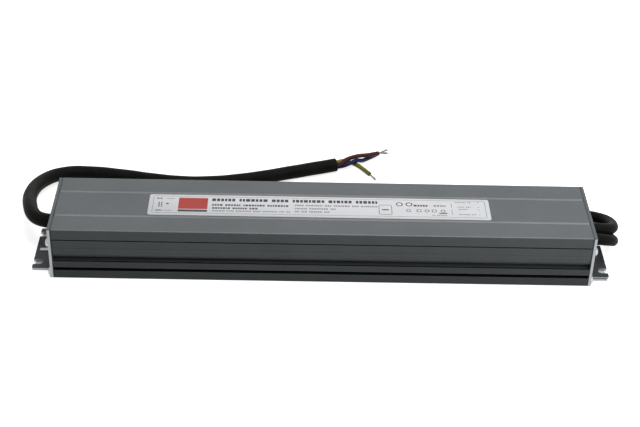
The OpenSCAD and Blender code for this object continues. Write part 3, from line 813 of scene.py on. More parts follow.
@dataclass(frozen=True)
class Line:
    """A smooth line that rings are carried along, in millimetres. It is nowhere upright."""

    points: np.ndarray

    @classmethod
    def through(cls, route: Sequence[Sequence[float]], step: float = 0.4, even: float = 4.0) -> "Line":
        """A smooth line through the points of a route.

        Between two points it is a cubic that passes each point in the direction of the parabola
        through that point and its two neighbours. Each sample then becomes the mean of the samples
        beside it, twice over, which takes the last unevenness out of its bends.

        Args:
            route: the points
            step: the distance between samples
            even: the width that each mean is taken over

        Returns:
            The line.
        """
        p = np.array(route, float)
        h = np.linalg.norm(np.diff(p, axis=0), axis=1)
        slope = np.diff(p, axis=0) / h[:, None]
        inner = (slope[:-1] * h[1:, None] + slope[1:] * h[:-1, None]) / (h[:-1] + h[1:])[:, None]
        tangent = np.concatenate([slope[:1], inner, slope[-1:]])
        along = np.concatenate([[0], np.cumsum(h)])
        at = np.linspace(0, along[-1], max(8, int(along[-1] / step)))
        i = np.clip(np.searchsorted(along, at, side="right") - 1, 0, len(h) - 1)
        t = ((at - along[i]) / h[i])[:, None]
        g = h[i][:, None]
        curve = ((2 * t**3 - 3 * t**2 + 1) * p[i] + (t**3 - 2 * t**2 + t) * g * tangent[i]
                 + (3 * t**2 - 2 * t**3) * p[i + 1] + (t**3 - t**2) * g * tangent[i + 1])
        reach = int(even / step / 2)
        if reach:
            ramp = np.arange(1, reach + 1)[:, None]
            kernel = np.ones(2 * reach + 1) / (2 * reach + 1)
            for _ in range(2):
                before = curve[0] - (curve[1] - curve[0]) * ramp[::-1]
                after = curve[-1] + (curve[-1] - curve[-2]) * ramp
                padded = np.concatenate([before, curve, after])
                curve = np.stack([np.convolve(padded[:, k], kernel, "valid") for k in range(3)], axis=1)
        return cls(curve)

    @property
    def along(self) -> np.ndarray:
        """Each point's distance along the line."""
        return np.concatenate([[0], np.cumsum(np.linalg.norm(np.diff(self.points, axis=0), axis=1))])

    @property
    def length(self) -> float:
        """The line's length."""
        return float(self.along[-1])

    def at(self, s: np.ndarray) -> tuple[np.ndarray, np.ndarray, np.ndarray]:
        """Places and directions on the line.

        Args:
            s: distances along it

        Returns:
            The places, the level directions across it, and the directions across both.
        """
        along = self.along
        ahead = unit(np.gradient(self.points, axis=0))
        place, heading = (np.stack([np.interp(s, along, v[:, k]) for k in range(3)], axis=-1)
                          for v in (self.points, ahead))
        heading = unit(heading)
        side = unit(np.cross([0.0, 0.0, 1.0], heading))
        return place, side, np.cross(heading, side)

    def rings(self, s: np.ndarray, radius: np.ndarray | float, columns: int,
              turn: np.ndarray | float = 0.0) -> np.ndarray:
        """Rings round the line: its place, plus radius times cosine across it and sine over it.

        Args:
            s: for each ring, its distance along the line
            radius: one number, one for each ring, or rings by columns
            columns: number of points in a ring
            turn: how far each ring is turned, in radians

        Returns:
            Rings by columns by 3.
        """
        place, side, over = self.at(s)
        angle = np.arange(columns) * TURN / columns + np.reshape(turn, (-1, 1))
        r = np.broadcast_to(np.asarray(radius, float).reshape(-1, 1) if np.ndim(radius) == 1 else radius,
                            (len(s), columns))
        return (place[:, None] + (r * np.cos(angle))[..., None] * side[:, None]
                + (r * np.sin(angle))[..., None] * over[:, None])


@dataclass(frozen=True)
class Lamp:
    """A soft rectangular lamp that looks at the object, placed in degrees and measured in metres.

    It hangs at its azimuth, which is 0 in front and 90 at the right, and at its elevation. Its level
    is the brightness that it gives a white face turned to it, so its power is the level times pi
    squared times the distance squared.
    """

    name: str
    azimuth: float
    elevation: float
    level: float
    width: float
    height: float
    distance: float = 1.5

    def hang(self) -> None:
        """Hangs the lamp."""
        az, el = math.radians(self.azimuth), math.radians(self.elevation)
        towards = Vector((math.sin(az) * math.cos(el), -math.cos(az) * math.cos(el), math.sin(el)))
        data = bpy.data.lights.new(self.name, "AREA")
        data.shape, data.size, data.size_y = "RECTANGLE", self.width, self.height
        data.energy = self.level * math.pi ** 2 * self.distance ** 2
        made = bpy.data.objects.new(self.name, data)
        made.location = towards * self.distance
        made.rotation_euler = towards.to_track_quat("Z", "Y").to_euler()
        bpy.context.scene.collection.objects.link(made)


LAMPS = (
    Lamp("key", azimuth=20, elevation=56, level=0.07, width=1.4, height=0.3),
    Lamp("overhead", azimuth=90, elevation=77, level=0.74, width=0.9, height=1.5),
    Lamp("front_fill", azimuth=58, elevation=20, level=0.25, width=0.5, height=0.4, distance=0.6),
    Lamp("left_fill", azimuth=-80, elevation=30, level=0.015, width=0.8, height=0.8),
    Lamp("back_fill", azimuth=180, elevation=12, level=0.15, width=1.2, height=0.4))


@dataclass(frozen=True)
class Studio:
    """The camera, the lamps and the floor of a plain studio."""

    azimuth: float = -1.434
    elevation: float = 34.196
    roll: float = 1.781
    distance: float = 933.113
    shift: tuple[float, float] = (-0.819, 26.527)
    focal_pixels: float = 1441.895
    picture_width: float = 640.0
    sensor: float = 36.0
    lamps: tuple[Lamp, ...] = LAMPS
    ambient: float = 0.08
    floor_size: float = 12.0
    floor_bounce: str = "#8e8e8c"
    floor_tone: str = "#f4f4f4"
    floor_glow: float = 0.75
    far_glow: float = 1.0
    glow_grows: tuple[float, float] = (500.0, 1000.0)
    # The painted shadow's grey paper and its weaker glow.
    painted_shadow_tone: str = "#b4b4b4"
    painted_shadow_glow: float = 0.07
    # The boxes where the floor takes a painted shadow, each from X to X and from Y to Y.
    shaded: tuple[tuple[float, float, float, float], ...] = (
        (-183.0, 183.0, -22.0, 22.0), (-171.5, 171.5, -29.6, 29.6), (171.5, 183.0, -24.8, 0.0),
        (172.0, 187.0, 20.0, 45.0))
    painted_shadow_edge: float = 1.5

    def camera(self) -> None:
        """Puts the camera where the photograph was taken from.

        The camera's axes are the level direction across the view, the one over it and the one back
        from it, turned by the roll. Its place is the origin, plus the shift along the first two and
        the distance along the third.
        """
        az, el, roll = (math.radians(a) for a in (self.azimuth, self.elevation, self.roll))
        back = np.array([math.sin(az) * math.cos(el), -math.cos(az) * math.cos(el), math.sin(el)])
        across = unit(np.cross([0, 0, 1], back))
        over = np.cross(back, across)
        axes = np.array([math.cos(roll) * across + math.sin(roll) * over,
                         math.cos(roll) * over - math.sin(roll) * across, back])
        place = np.array([*self.shift, self.distance]) @ axes * MM
        matrix = np.eye(4)
        matrix[:3, :3] = axes.T
        matrix[:3, 3] = place
        data = bpy.data.cameras.new("camera")
        data.sensor_width = self.sensor
        data.lens = self.focal_pixels / self.picture_width * self.sensor
        data.clip_start, data.clip_end = 0.01, 50
        made = bpy.data.objects.new("camera", data)
        made.matrix_world = Matrix(matrix.tolist())
        bpy.context.scene.collection.objects.link(made)
        bpy.context.scene.camera = made

    def seen(self, tree: bpy.types.NodeTree) -> bpy.types.NodeSocket:
        """Whether a ray is one that shows the surroundings: to the camera, in a mirror or through glass.

        Args:
            tree: the node tree that it goes into

        Returns:
            1 for such a ray, and 0 for one that only brings light.
        """
        shows: bpy.types.NodeSocket | float = 0.0
        for word in ("Camera", "Glossy", "Transmission"):
            ray = add(tree, "LightPath", out=f"Is {word} Ray")
            shows = add(tree, "Math", {0: shows, 1: ray}, operation="MAXIMUM")
        return shows

    def world(self) -> None:
        """Sets the surroundings: white where they are seen, and a dim even light elsewhere."""
        made = bpy.data.worlds.new("surroundings")
        made.use_nodes = True
        tree = made.node_tree
        dim = add(tree, "Background", {"Color": (1, 1, 1, 1), "Strength": self.ambient})
        white = add(tree, "Background", {"Color": (1, 1, 1, 1), "Strength": 1.0})
        mixed = add(tree, "MixShader", {0: self.seen(tree), 1: dim, 2: white})
        tree.links.new(mixed, tree.nodes["World Output"].inputs["Surface"])
        bpy.context.scene.world = made

    def painted_shadow_share(self, tree: bpy.types.NodeTree, place: bpy.types.NodeSocket) -> bpy.types.NodeSocket:
        """How much painted shadow a place on the floor takes: 1 in a shaded box, falling to 0 at its edge.

        The boxes lie under the object, in the slots of its feet and under the turn of its cords, each
        from X to X and from Y to Y. A box gives the product of its falls along X and along Y, and the
        greatest box holds.

        Args:
            tree: the floor's node tree
            place: a point's place on the floor, in millimetres

        Returns:
            The share.
        """
        under: bpy.types.NodeSocket | float = 0.0
        for x0, x1, y0, y1 in self.shaded:
            middle, half = ((x0 + x1) / 2, (y0 + y1) / 2, 0.0), ((x1 - x0) / 2, (y1 - y0) / 2)
            moved = add(tree, "VectorMath", {0: place, 1: middle}, operation="SUBTRACT")
            inside: bpy.types.NodeSocket | float = 1.0
            for k, reach in enumerate(half):
                along = add(tree, "SeparateXYZ", {0: moved}, out=k)
                away = add(tree, "Math", {0: along}, operation="ABSOLUTE")
                near = add(tree, "MapRange", {0: away, 1: reach - self.painted_shadow_edge, 2: reach, 3: 1.0, 4: 0.0})
                inside = add(tree, "Math", {0: near, 1: inside}, operation="MULTIPLY")
            under = add(tree, "Math", {0: inside, 1: under}, operation="MAXIMUM")
        return under

    def floor(self) -> None:
        """Lays the floor: plain paper, half lit from below so that it shows white and keeps a light shadow.

        To the camera and to mirrors it is near white. The light that it sends up on the object is
        less, as from paper that darkens away from the lamps. In the shaded boxes the glow fades and the
        paper is greyer: a painted shadow, where little light gets. Far from the object, where the lamps'
        light ends, the glow grows until the paper is as white as the air.
        """
        far = self.floor_size / 2
        mesh = bpy.data.meshes.new("floor")
        corners = [(-far, -far, 0), (far, -far, 0), (far, far, 0), (-far, far, 0)]
        mesh.from_pydata(corners, [], [(0, 1, 2, 3)])
        paper = bpy.data.materials.new("white_paper")
        paper.use_nodes = True
        tree = paper.node_tree
        seen = self.seen(tree)
        place = add(tree, "VectorMath", {0: add(tree, "TexCoord", out="Object"), "Scale": 1 / MM},
                    operation="SCALE")
        # The painted shadow: greyer paper and less glow in the shaded boxes.
        under = self.painted_shadow_share(tree, place)
        paper_tone = add(tree, "Mix", {0: under, 6: linear(self.floor_tone), 7: linear(self.painted_shadow_tone)},
                         data_type="RGBA")
        tone = add(tree, "Mix", {0: seen, 6: linear(self.floor_bounce), 7: paper_tone}, data_type="RGBA")
        apart = add(tree, "VectorMath", {0: place}, out="Value", operation="LENGTH")
        start, full = self.glow_grows
        open_glow = add(tree, "MapRange", {0: apart, 1: start, 2: full, 3: self.floor_glow,
                                           4: self.far_glow})
        level = add(tree, "MapRange", {0: under, 1: 0.0, 2: 1.0, 3: open_glow, 4: self.painted_shadow_glow})
        strength = add(tree, "Math", {0: seen, 1: level}, operation="MULTIPLY")
        lit = add(tree, "BsdfDiffuse", {"Color": tone})
        glow = add(tree, "Emission", {"Color": (1, 1, 1, 1), "Strength": strength})
        glowing = add(tree, "AddShader", {0: lit, 1: glow})
        tree.links.new(glowing, tree.nodes["Material Output"].inputs["Surface"])
        mesh.materials.append(paper)
        made = bpy.data.objects.new("floor", mesh)
        bpy.context.scene.collection.objects.link(made)

    def build(self) -> None:
        """Builds the whole studio."""
        self.camera()
        for lamp in self.lamps:
            lamp.hang()
        self.world()
        self.floor()
        bpy.context.scene.view_settings.view_transform = "Standard"
        log.info("studio: camera, %d lamps, floor", len(self.lamps))


@dataclass(frozen=True)
class Core:
    """One insulated core that lies free beyond a cut sheath, with its bare strands."""

    name: str
    route: list[list[float]]
    tip: list[float]
    finish: Finish
    slot: Slot
    radius: float
    strand_radius: float
    columns: int = 28
    ring_gap: float = 0.7
    edge: float = 0.12
    bore_play: float = 0.08
    bore_depth: float = 1.2
    even: float = 2.5
    turn: float = 0.0
    spiral: float = 0.035
    wires: int = 6
    wire_radius: float = 0.24
    wire_columns: int = 8
    lay: float = 9.0
    fray: float = 0.45
    bow: float = 0.06
    short: float = 0.05

    def insulation(self, node: str | None, back: np.ndarray) -> bpy.types.Object:
        """The insulation: a tube with a clean cut and an open bore at its far end.

        Args:
            node: the CAD node that it stands for, if it is one of its own
            back: the step back into the sheath, where the core comes from

        Returns:
            The piece.
        """
        shell = Shell()
        self.draw_insulation(shell, back, 0)
        return shell.piece(self.name, [self.finish], self.slot, [node] if node else [])

    def draw_insulation(self, shell: Shell, back: np.ndarray, mark: int) -> None:
        """Adds the insulation to a shell: its radius along the line, in across the cut, back down the bore.

        The rings turn as they go, by the spiral in radians for each millimetre, and a stripe with them.

        Args:
            shell: the shell that it goes into
            back: the step back into the sheath, where the core comes from
            mark: number of the finish
        """
        line = Line.through([(np.array(self.route[0]) + back).tolist(), *self.route], even=self.even)
        n = line.length
        s = np.concatenate([np.arange(0, n - self.edge, self.ring_gap),
                            [n - self.edge, n, n, n - self.bore_depth]])
        bore = self.strand_radius + self.bore_play
        r = np.full(len(s), self.radius)
        r[-3:] = [self.radius - self.edge, bore, bore]
        shell.rings(line.rings(s, r, self.columns, self.turn + s * self.spiral), s, mark)

    def draw_strands(self, shell: Shell, mark: int) -> None:
        """Adds the bare strands to a shell: six wires laid round a seventh, opening a little at the tip.

        Each wire is a helix round the core's line, one turn in each lay. Its distance from the line
        grows with the fourth power of the way along. The wires end unevenly, some a little short.

        Args:
            shell: the shell that they go into
            mark: number of the finish
        """
        a, b = np.array(self.route[-1]), np.array(self.tip)
        ahead = unit(a - np.array(self.route[-2]))
        reach = np.linalg.norm(b - a)
        middle = (a + b) / 2 + ahead * reach * self.bow
        line = Line.through([a - ahead, a, middle, b], step=0.2, even=1.5)
        s = np.linspace(0, line.length, 30)
        place, side, over = line.at(s)
        open_up = 1 + self.fray * (s / line.length) ** 4
        reach_out = (self.strand_radius - self.wire_radius) * open_up
        for j in range(self.wires + 1):
            angle = TURN * (j / self.wires + s / self.lay)
            out = reach_out * (j < self.wires)
            wire = Line(place + (out * np.cos(angle))[:, None] * side + (out * np.sin(angle))[:, None] * over)
            end = wire.length * (1 - self.short * ((j * 3) % 4))
            along = np.linspace(0, end, 26)
            shell.rings(wire.rings(along, self.wire_radius, self.wire_columns), along, mark)


@dataclass(frozen=True)
class Cord:
    """A rubber cord that lies free on the floor, with its cores laid bare at the far end."""

    name: str
    node: str
    route: list[list[float]]
    diameter: float
    exit: tuple[float, float, float]
    length: float
    bore: float
    columns: int = 64
    ring_gap: float = 1.1
    edge: float = 0.25
    bore_depth: float = 4.0
    mould_angle: float = 1.9
    mould_height: float = 0.07
    mould_width: float = 0.07
    lay: float = 55.0
    ripple: float = 0.035
    cores: int = 3

    def line(self) -> Line:
        """The line through the cord's route."""
        return Line.through(self.route)

    def heading(self) -> np.ndarray:
        """The direction in which the cord ends."""
        p = self.line().points
        return unit(p[-1] - p[-4])

    def sheath(self) -> bpy.types.Object:
        """The sheath: round, with the lay of its cores as a faint ripple and the mould's thin line along it.

        The radius is half the diameter, plus the ripple times the cosine of the number of cores times
        the angle, which turns with the lay, plus the mould line as a narrow bell round its angle. At
        the cut the profile turns in over the edge and back down the bore.

        Returns:
            The piece.
        """
        line = self.line()
        n, edge = line.length, self.edge
        body = np.arange(0, n - 2 * edge, self.ring_gap)
        s = np.concatenate([body, [n - 1.6 * edge, n - 0.5 * edge, n, n, n - self.bore_depth]])
        angle = np.arange(self.columns) * TURN / self.columns
        turned = self.cores * (angle[None] - TURN * s[:, None] / self.lay)
        away = np.angle(np.exp(1j * (angle - self.mould_angle)))
        mould = self.mould_height * np.exp(-(away / self.mould_width) ** 2)
        r = self.diameter / 2 + self.ripple * np.cos(turned) + mould[None]
        r[-4] -= 0.3 * edge
        r[-3] -= edge
        r[-2:] = self.bore
        shell = Shell()
        shell.rings(line.rings(s, r, self.columns), s)
        return shell.piece(self.name, [SHEATH], Slot.SHEATH, [self.node])

    def declare(self, sheath: bpy.types.Object, pieces: Sequence[bpy.types.Object]) -> None:
        """Works out the cord's path in metres and reads its exit and length, but does nothing with them.

        Args:
            sheath: the sheath; not used
            pieces: its cores and strands; not used
        """
        path = (self.line().points * MM).tolist()
        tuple(self.exit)
        self.length


# The routes are the CAD solids' own, in millimetres. The exits and lengths are in metres.
SUPPLY = Cord("supply_cord_sheath", "ac_cord", [
    [-158, 2.5, 21], [-167, 2.5, 21], [-172.4, 2.5, 21], [-174.8, 2.9, 20.9], [-179, 5.1, 20.2],
    [-183.4, 8.7, 19.6], [-187, 14.8, 19], [-189.9, 24.1, 17.6], [-192.2, 35.2, 15.4], [-193, 47.4, 12.9],
    [-191.5, 59.5, 10.6], [-187.7, 70.5, 8.3], [-180.9, 79.4, 6.5], [-171.5, 84.7, 5.2],
    [-160.5, 85.5, 4.8], [-134, 82, 4.7], [-112, 77.4, 4.7], [-90, 75, 4.7], [-68, 76.8, 4.7],
    [-46, 82, 4.7], [-18, 91.5, 4.7], [11, 101.6, 4.7]],
    diameter=9.3, exit=(-0.173, 0.0025, 0.021), length=0.303, bore=3.7)
SUPPLY_CORES = (
    Core("live_core", [[11.6, 100.3, 5.7], [13.1, 100.8, 5.8], [16.8, 104.4, 6.4], [21.4, 108.7, 6.2],
                       [27.4, 111.9, 6], [33.6, 114.6, 5.1], [41.8, 118.6, 4.4]],
         [48.5, 123.8, 4.4], BROWN_PVC, Slot.BROWN, radius=1.5, strand_radius=0.65),
    Core("neutral_core", [[11.1, 101.8, 2.7], [12.6, 102.3, 2.7], [16.6, 102.9, 3.2], [21, 104.6, 4.4],
                          [25.8, 107.8, 4.7], [30, 111.2, 2.6], [34, 115.6, 1.7], [41.8, 122.8, 1.6]],
         [49, 124.4, 1], BLUE_PVC, Slot.BLUE, radius=1.5, strand_radius=0.65),
    Core("earth_core", [[10.5, 103.6, 5.2], [12, 104.1, 5.2], [14.2, 106.6, 4.6], [16.8, 109.6, 3],
                        [20.2, 110.6, 1.7], [24, 108.6, 1.6], [27.6, 105, 1.6], [31.2, 100.2, 1.6],
                        [34.7, 94.8, 1.6]],
         [38.9, 88.5, 1], EARTH_PVC, Slot.EARTH, radius=1.5, strand_radius=0.65, turn=-1.6))
OUTPUTS = (
    Cord("output_cord_front_sheath", "dc_cord_front", [
        [158, -6, 20], [167, -6, 20], [172.8, -6, 20], [179.2, -4.8, 18.7], [184.4, -1.8, 16.3],
        [187.8, 2.6, 13.1], [189.4, 7.9, 9.3], [189.3, 14.2, 6.5], [187.6, 20.6, 4.9],
        [184.3, 26.2, 4], [179.2, 30.9, 3.75], [172.4, 34.6, 3.75], [163.6, 36, 3.75],
        [140, 36.4, 3.75], [114, 36.6, 3.75], [88, 36.8, 3.75], [62, 36.8, 3.75], [36, 36.6, 3.75],
        [10, 36.4, 3.75], [-16, 36.4, 3.75], [-40, 36.6, 3.75], [-64, 36.8, 3.75]],
        diameter=7.3, exit=(0.173, -0.006, 0.02), length=0.313, bore=2.85, columns=56, mould_angle=1.3,
        cores=2),
    Cord("output_cord_rear_sheath", "dc_cord_rear", [
        [158, 6, 20], [167, 6, 20], [172.8, 6, 20], [179.2, 6.6, 19.3], [184.9, 9, 17.6],
        [189.1, 13.4, 15.2], [191, 19.6, 12.7], [190.9, 26.8, 10.3], [188.6, 33.8, 8],
        [184.2, 39.4, 6], [177.8, 43.4, 4.6], [169, 45.8, 3.8], [148, 48.6, 3.75], [124, 50, 3.75],
        [98, 50.4, 3.75], [72, 50.4, 3.75], [46, 50, 3.75], [20, 49.2, 3.75], [-6, 48.4, 3.75],
        [-32, 47.8, 3.75], [-52, 47.8, 3.75]],
        diameter=7.3, exit=(0.173, 0.006, 0.02), length=0.302, bore=2.85, columns=56, mould_angle=2.2,
        cores=2))


@dataclass(frozen=True)
class SupplyCord:
    """The supply cord at the left: out of the plate, a loop to the back, then its cut end on the floor."""

    cord: Cord = SUPPLY
    cores: tuple[Core, ...] = SUPPLY_CORES
    nodes: tuple[str, ...] = ("ac_core_live", "ac_core_neutral", "ac_core_earth")
    inside: float = 3.5

    def build(self) -> None:
        sheath = self.cord.sheath()
        back = -self.inside * self.cord.heading()
        pieces = [core.insulation(node, back) for core, node in zip(self.cores, self.nodes)]
        wires = Shell()
        for core in self.cores:
            core.draw_strands(wires, 0)
        pieces.append(wires.piece("supply_strands", [TINNED], Slot.TINNED, ["ac_conductors"]))
        self.cord.declare(sheath, pieces)


@dataclass(frozen=True)
class OutputCords:
    """The two output cords at the right: they turn back beside the foot and run along behind the case."""

    cords: tuple[Cord, ...] = OUTPUTS
    nodes: tuple[str, ...] = ("dc_cores_front", "dc_cores_rear")
    names: tuple[str, ...] = ("front_cores", "rear_cores")
    core_r: float = 1.2
    core_gap: float = 0.1
    core_spread: float = 0.05
    core_length: float = 14.0
    strand_r: float = 0.6
    strand_length: float = 8.0
    inside: float = 3.0

    def cores(self, cord: Cord, name: str) -> list[Core]:
        """The two cores of a cord, which spread a little beyond the cut and sink to the floor.

        Args:
            cord: the cord
            name: the start of their names

        Returns:
            The cores: red, then black.
        """
        end = np.array(cord.route[-1])
        drop = (cord.diameter / 2 - self.core_r) / (self.core_length + self.strand_length)

        def at(s: int, x: float) -> list[float]:
            """A point of one core: the side that it goes to times its spread, at a distance from the cut.

            Args:
                s: -1 for the core nearer the case, 1 for the other
                x: the distance from the cut

            Returns:
                The point.
            """
            across = self.core_r + self.core_gap + x * self.core_spread
            return (end + [-x, s * across, -x * drop]).tolist()

        return [Core(f"{name}_{word}", [at(s, x) for x in (0.3, 2, 5, 8, 11, self.core_length)],
                     at(s, self.core_length + self.strand_length), finish, Slot.OUTPUT,
                     radius=self.core_r, strand_radius=self.strand_r, columns=24, wire_radius=0.19)
                for s, word, finish in ((-1, "red", RED_PVC), (1, "black", BLACK_PVC))]

    def build(self) -> None:
        wires = Shell()
        made = []
        for cord, node, name in zip(self.cords, self.nodes, self.names):
            sheath = cord.sheath()
            shell = Shell()
            for mark, core in enumerate(self.cores(cord, name)):
                core.draw_insulation(shell, -self.inside * cord.heading(), mark)
                core.draw_strands(wires, 0)
            made.append((cord, sheath, shell.piece(name, [RED_PVC, BLACK_PVC], Slot.OUTPUT, [node])))
        strands = wires.piece("output_strands", [TINNED], Slot.TINNED, ["dc_conductors"])
        for (cord, sheath, cores), extra in zip(made, ([strands], [])):
            cord.declare(sheath, [cores, *extra])


@dataclass(frozen=True)
class ExtrudedCase:
    """The aluminium extrusion, with its edges as the die leaves them: rounded, never sharp.

    The slopes of its upper edges and of its grooves take glossier, paler finishes: a painted
    highlight along each.
    """

    edge: float = 0.22
    end_edge: float = 0.12
    end_bow: float = 0.3
    crease: float = 28.0
    sharp: float = 20.0
    slope_low: float = 35.5
    slope_least: float = 0.4
    groove_reach: float = 25.0

    def outlines(self, node: str) -> list[np.ndarray]:
        """The outlines of a prism's right-hand end, from its CAD node.

        Args:
            node: the CAD node

        Returns:
            For each closed outline, Y and Z of its points, in millimetres, with the metal at its left.
        """
        copy = merged(node)
        end = max(v.co.x for v in copy.verts)
        # A dict keeps the faces in their order, so that the outlines start at the same point each run.
        caps = dict.fromkeys(f for f in copy.faces if all(end - v.co.x < 1e-6 for v in f.verts))
        follow = {}
        for face in caps:
            for loop in face.loops:
                if any(other not in caps for other in loop.edge.link_faces):
                    follow[loop.vert] = loop.link_loop_next.vert
        found = []
        while follow:
            start, after = follow.popitem()
            points = [start]
            while after is not start:
                points.append(after)
                after = follow.pop(after)
            found.append(np.array([(v.co.y, v.co.z) for v in points]) / MM)
        copy.free()
        return found

    def rounded(self, outline: np.ndarray) -> np.ndarray:
        """Rounds the corners of a closed outline.

        A corner becomes a short parabola that leaves one side and joins the next, with the corner as
        its control point. It starts the edge radius before the corner, or two fifths of the side if
        that is less. Where the outline turns less than the sharp angle it stays as it is.

        Args:
            outline: Y and Z of the points

        Returns:
            The points of the rounded outline.
        """
        back, on = np.roll(outline, 1, axis=0) - outline, np.roll(outline, -1, axis=0) - outline
        near = np.minimum(np.linalg.norm(back, axis=1), np.linalg.norm(on, axis=1))
        turn = np.degrees(np.arccos(np.clip(-(unit(back) * unit(on)).sum(axis=1), -1, 1)))
        cut = np.where(turn > self.sharp, np.minimum(self.edge, 0.4 * near), 0)[:, None, None]
        t = np.linspace(0, 1, 5)[None, :, None]
        here = outline[:, None]
        start, end = here + cut * unit(back)[:, None], here + cut * unit(on)[:, None]
        points = ((1 - t) ** 2 * start + 2 * t * (1 - t) * here + t ** 2 * end).reshape(-1, 2)
        apart = np.linalg.norm(points - np.roll(points, 1, axis=0), axis=1) > 1e-4
        return points[apart]

    def thin(self, outline: np.ndarray) -> np.ndarray:
        """Marks the sides of an outline that slope and lie high, which take a painted highlight.

        Args:
            outline: Y and Z of the points

        Returns:
            For each side, 1 where it is on an upper edge, 2 where it is in a groove and 0 elsewhere.
        """
        on = unit(np.roll(outline, -1, axis=0) - outline)
        middle = (outline + np.roll(outline, -1, axis=0)) / 2
        slopes = (abs(on).min(axis=1) > self.slope_least) & (middle[:, 1] > self.slope_low)
        return slopes * np.where(abs(middle[:, 0]) < self.groove_reach, 2, 1)

    def build(self) -> bpy.types.Object:
        """Carries the rounded outlines along the case, turns in at both ends and closes them.

        Returns:
            The piece.
        """
        low, high = (v.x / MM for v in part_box("housing"))
        e, bow = self.end_edge, self.end_bow * self.end_edge
        stations = [(low, e), (low + bow, bow), (low + e, 0), (high - e, 0), (high - bow, bow), (high, e)]
        shell = Shell()
        firsts, sizes, ends = [], [], []
        for outline in map(self.rounded, self.outlines("housing")):
            rows = np.stack([np.column_stack([np.full(len(outline), x), inset(outline, d)])
                             for x, d in stations])
            # The upper slopes take the finishes with the painted highlight.
            firsts.append(shell.rings(rows, mark=self.thin(outline), start_cap=False, end_cap=False))
            sizes.append(len(outline))
            ends.append([Vector((y, z, 0)) for _, y, z in rows[-1]])
        first_ring = np.concatenate([f + np.arange(n) for f, n in zip(firsts, sizes)])
        last_ring = np.concatenate([f + (len(stations) - 1) * n + np.arange(n)
                                    for f, n in zip(firsts, sizes)])
        flat = np.array([[v.x, v.y] for outline in ends for v in outline])
        for triangle in tessellate_polygon(ends):
            a, b, c = flat[list(triangle)]
            order = triangle if np.cross(b - a, c - a) > 0 else triangle[::-1]
            shell.face(last_ring[list(order)].tolist())
            shell.face(first_ring[list(order)][::-1].tolist())
        made = shell.piece("extruded_case", [CASE_COAT, EDGE_HIGHLIGHT_COAT, GROOVE_HIGHLIGHT_COAT], Slot.CASE, ["housing"],
                           crease=self.crease)
        made.modifiers.new("flat_faces", "WEIGHTED_NORMAL").keep_sharp = True
        return made


@dataclass(frozen=True)
class EndPlate:
    """A plate cut from coated sheet with its foot bent outwards, so that its cut edges are bare metal."""

    side: Side
    coat: Finish
    burr: float = 0.14
    crease: float = 30.0
    rounded_past: float = 35.0
    face: float = 170.0
    thickness: float = 1.7
    bend_top: float = 2.7
    bend_half: float = 22.2
    dart_half: float = 1.3
    dart_base: float = 2.6
    dart_high: float = 3.0
    dart_reach: float = 12.0
    dart_points: tuple[tuple[float, float], ...] = ((8.52, 0.0), (4.76, 0.98), (0.98, 4.76), (0.0, 5.26))
    dart_drawn: tuple[tuple[float, float], ...] = ((11.2, 0.0), (10.4, 1.0), (4.2, 1.3), (0.0, 1.6))
    near: float = 0.2
    facing: float = 0.7

    def bare(self, face: bmesh.types.BMFace) -> bool:
        """Whether a face is one that the shear left bare.

        Above the bend the cut faces are those that don't face along X, apart from the top edge, which
        took powder with the case. On the foot they are those that don't face along Z, and across the
        bend and on the dart those that face along Y. Beside the bend, where the sheet's corners end
        above the floor, they are those that don't face along X.

        Args:
            face: the face, in metres

        Returns:
            True for a cut face.
        """
        n, c = face.normal, face.calc_center_median() / MM
        out = abs(c.x) - self.face
        on_dart = abs(c.y) < self.dart_half and 0.1 * self.near < out < self.dart_reach
        if on_dart and self.side is Side.LEFT:
            return abs(n.y) > self.facing
        if c.z > self.bend_top:
            return abs(n.x) < self.facing and n.z < self.facing
        if out > self.bend_top - self.thickness:
            return abs(n.z) < self.facing
        return abs(n.y) > self.facing or (abs(c.y) > self.bend_half and abs(n.x) < self.facing)

    def draw_dart(self, mesh: bpy.types.Mesh) -> None:
        """Draws the dart out along the foot, to the long low rib that a press leaves.

        Its ridge points, given as the distance out from the plate and the height above the foot, move
        to their drawn places. Its half width becomes that of its base less the height, so that its
        sides slope.

        Args:
            mesh: the plate's joined mesh
        """
        flat = np.empty(3 * len(mesh.vertices))
        mesh.vertices.foreach_get("co", flat)
        points = flat.reshape(-1, 3) / MM
        way = self.side.value
        out, up = way * points[:, 0] - self.face, points[:, 2] - self.thickness
        middle = abs(points[:, 1]) < self.dart_half
        for (old_out, old_up), (new_out, new_up) in zip(self.dart_points, self.dart_drawn):
            ridge = middle & (np.hypot(out - old_out, up - old_up) < self.near)
            out[ridge], up[ridge] = new_out, new_up
        over, beyond = 2 * up / self.dart_high - 1, 2 * out / self.dart_reach - 1
        dart = middle & (np.maximum(abs(over), abs(beyond)) < 1.01)
        points[dart, 1] = np.copysign(self.dart_base - up[dart], points[dart, 1])
        points[:, 0], points[:, 2] = way * (self.face + out), self.thickness + up
        mesh.vertices.foreach_set("co", (points * MM).ravel())
        mesh.update()

    def build(self) -> bpy.types.Object:
        """Dresses a joined copy of the plate: bare where it was cut, with every edge a little rounded.

        Returns:
            The piece.
        """
        node = f"end_plate_{self.side.word}"
        copy = merged(node)
        bmesh.ops.dissolve_limit(copy, angle_limit=math.radians(0.5), verts=copy.verts, edges=copy.edges)
        for face in copy.faces:
            face.material_index = int(self.bare(face))
            face.smooth = True
        mesh = bpy.data.meshes.new(node)
        copy.to_mesh(mesh)
        copy.free()
        if self.side is Side.LEFT:
            self.draw_dart(mesh)
        mesh.set_sharp_from_angle(angle=math.radians(self.crease))
        made = settle(f"bent_plate_{self.side.word}", mesh, [self.coat, CUT_EDGE], Slot.PLATE, [node])
        rounding = made.modifiers.new("rounding", "BEVEL")
        rounding.width, rounding.segments = self.burr * MM, 2
        rounding.limit_method, rounding.angle_limit = "ANGLE", math.radians(self.rounded_past)
        made.modifiers.new("flat_faces", "WEIGHTED_NORMAL").keep_sharp = True
        return made


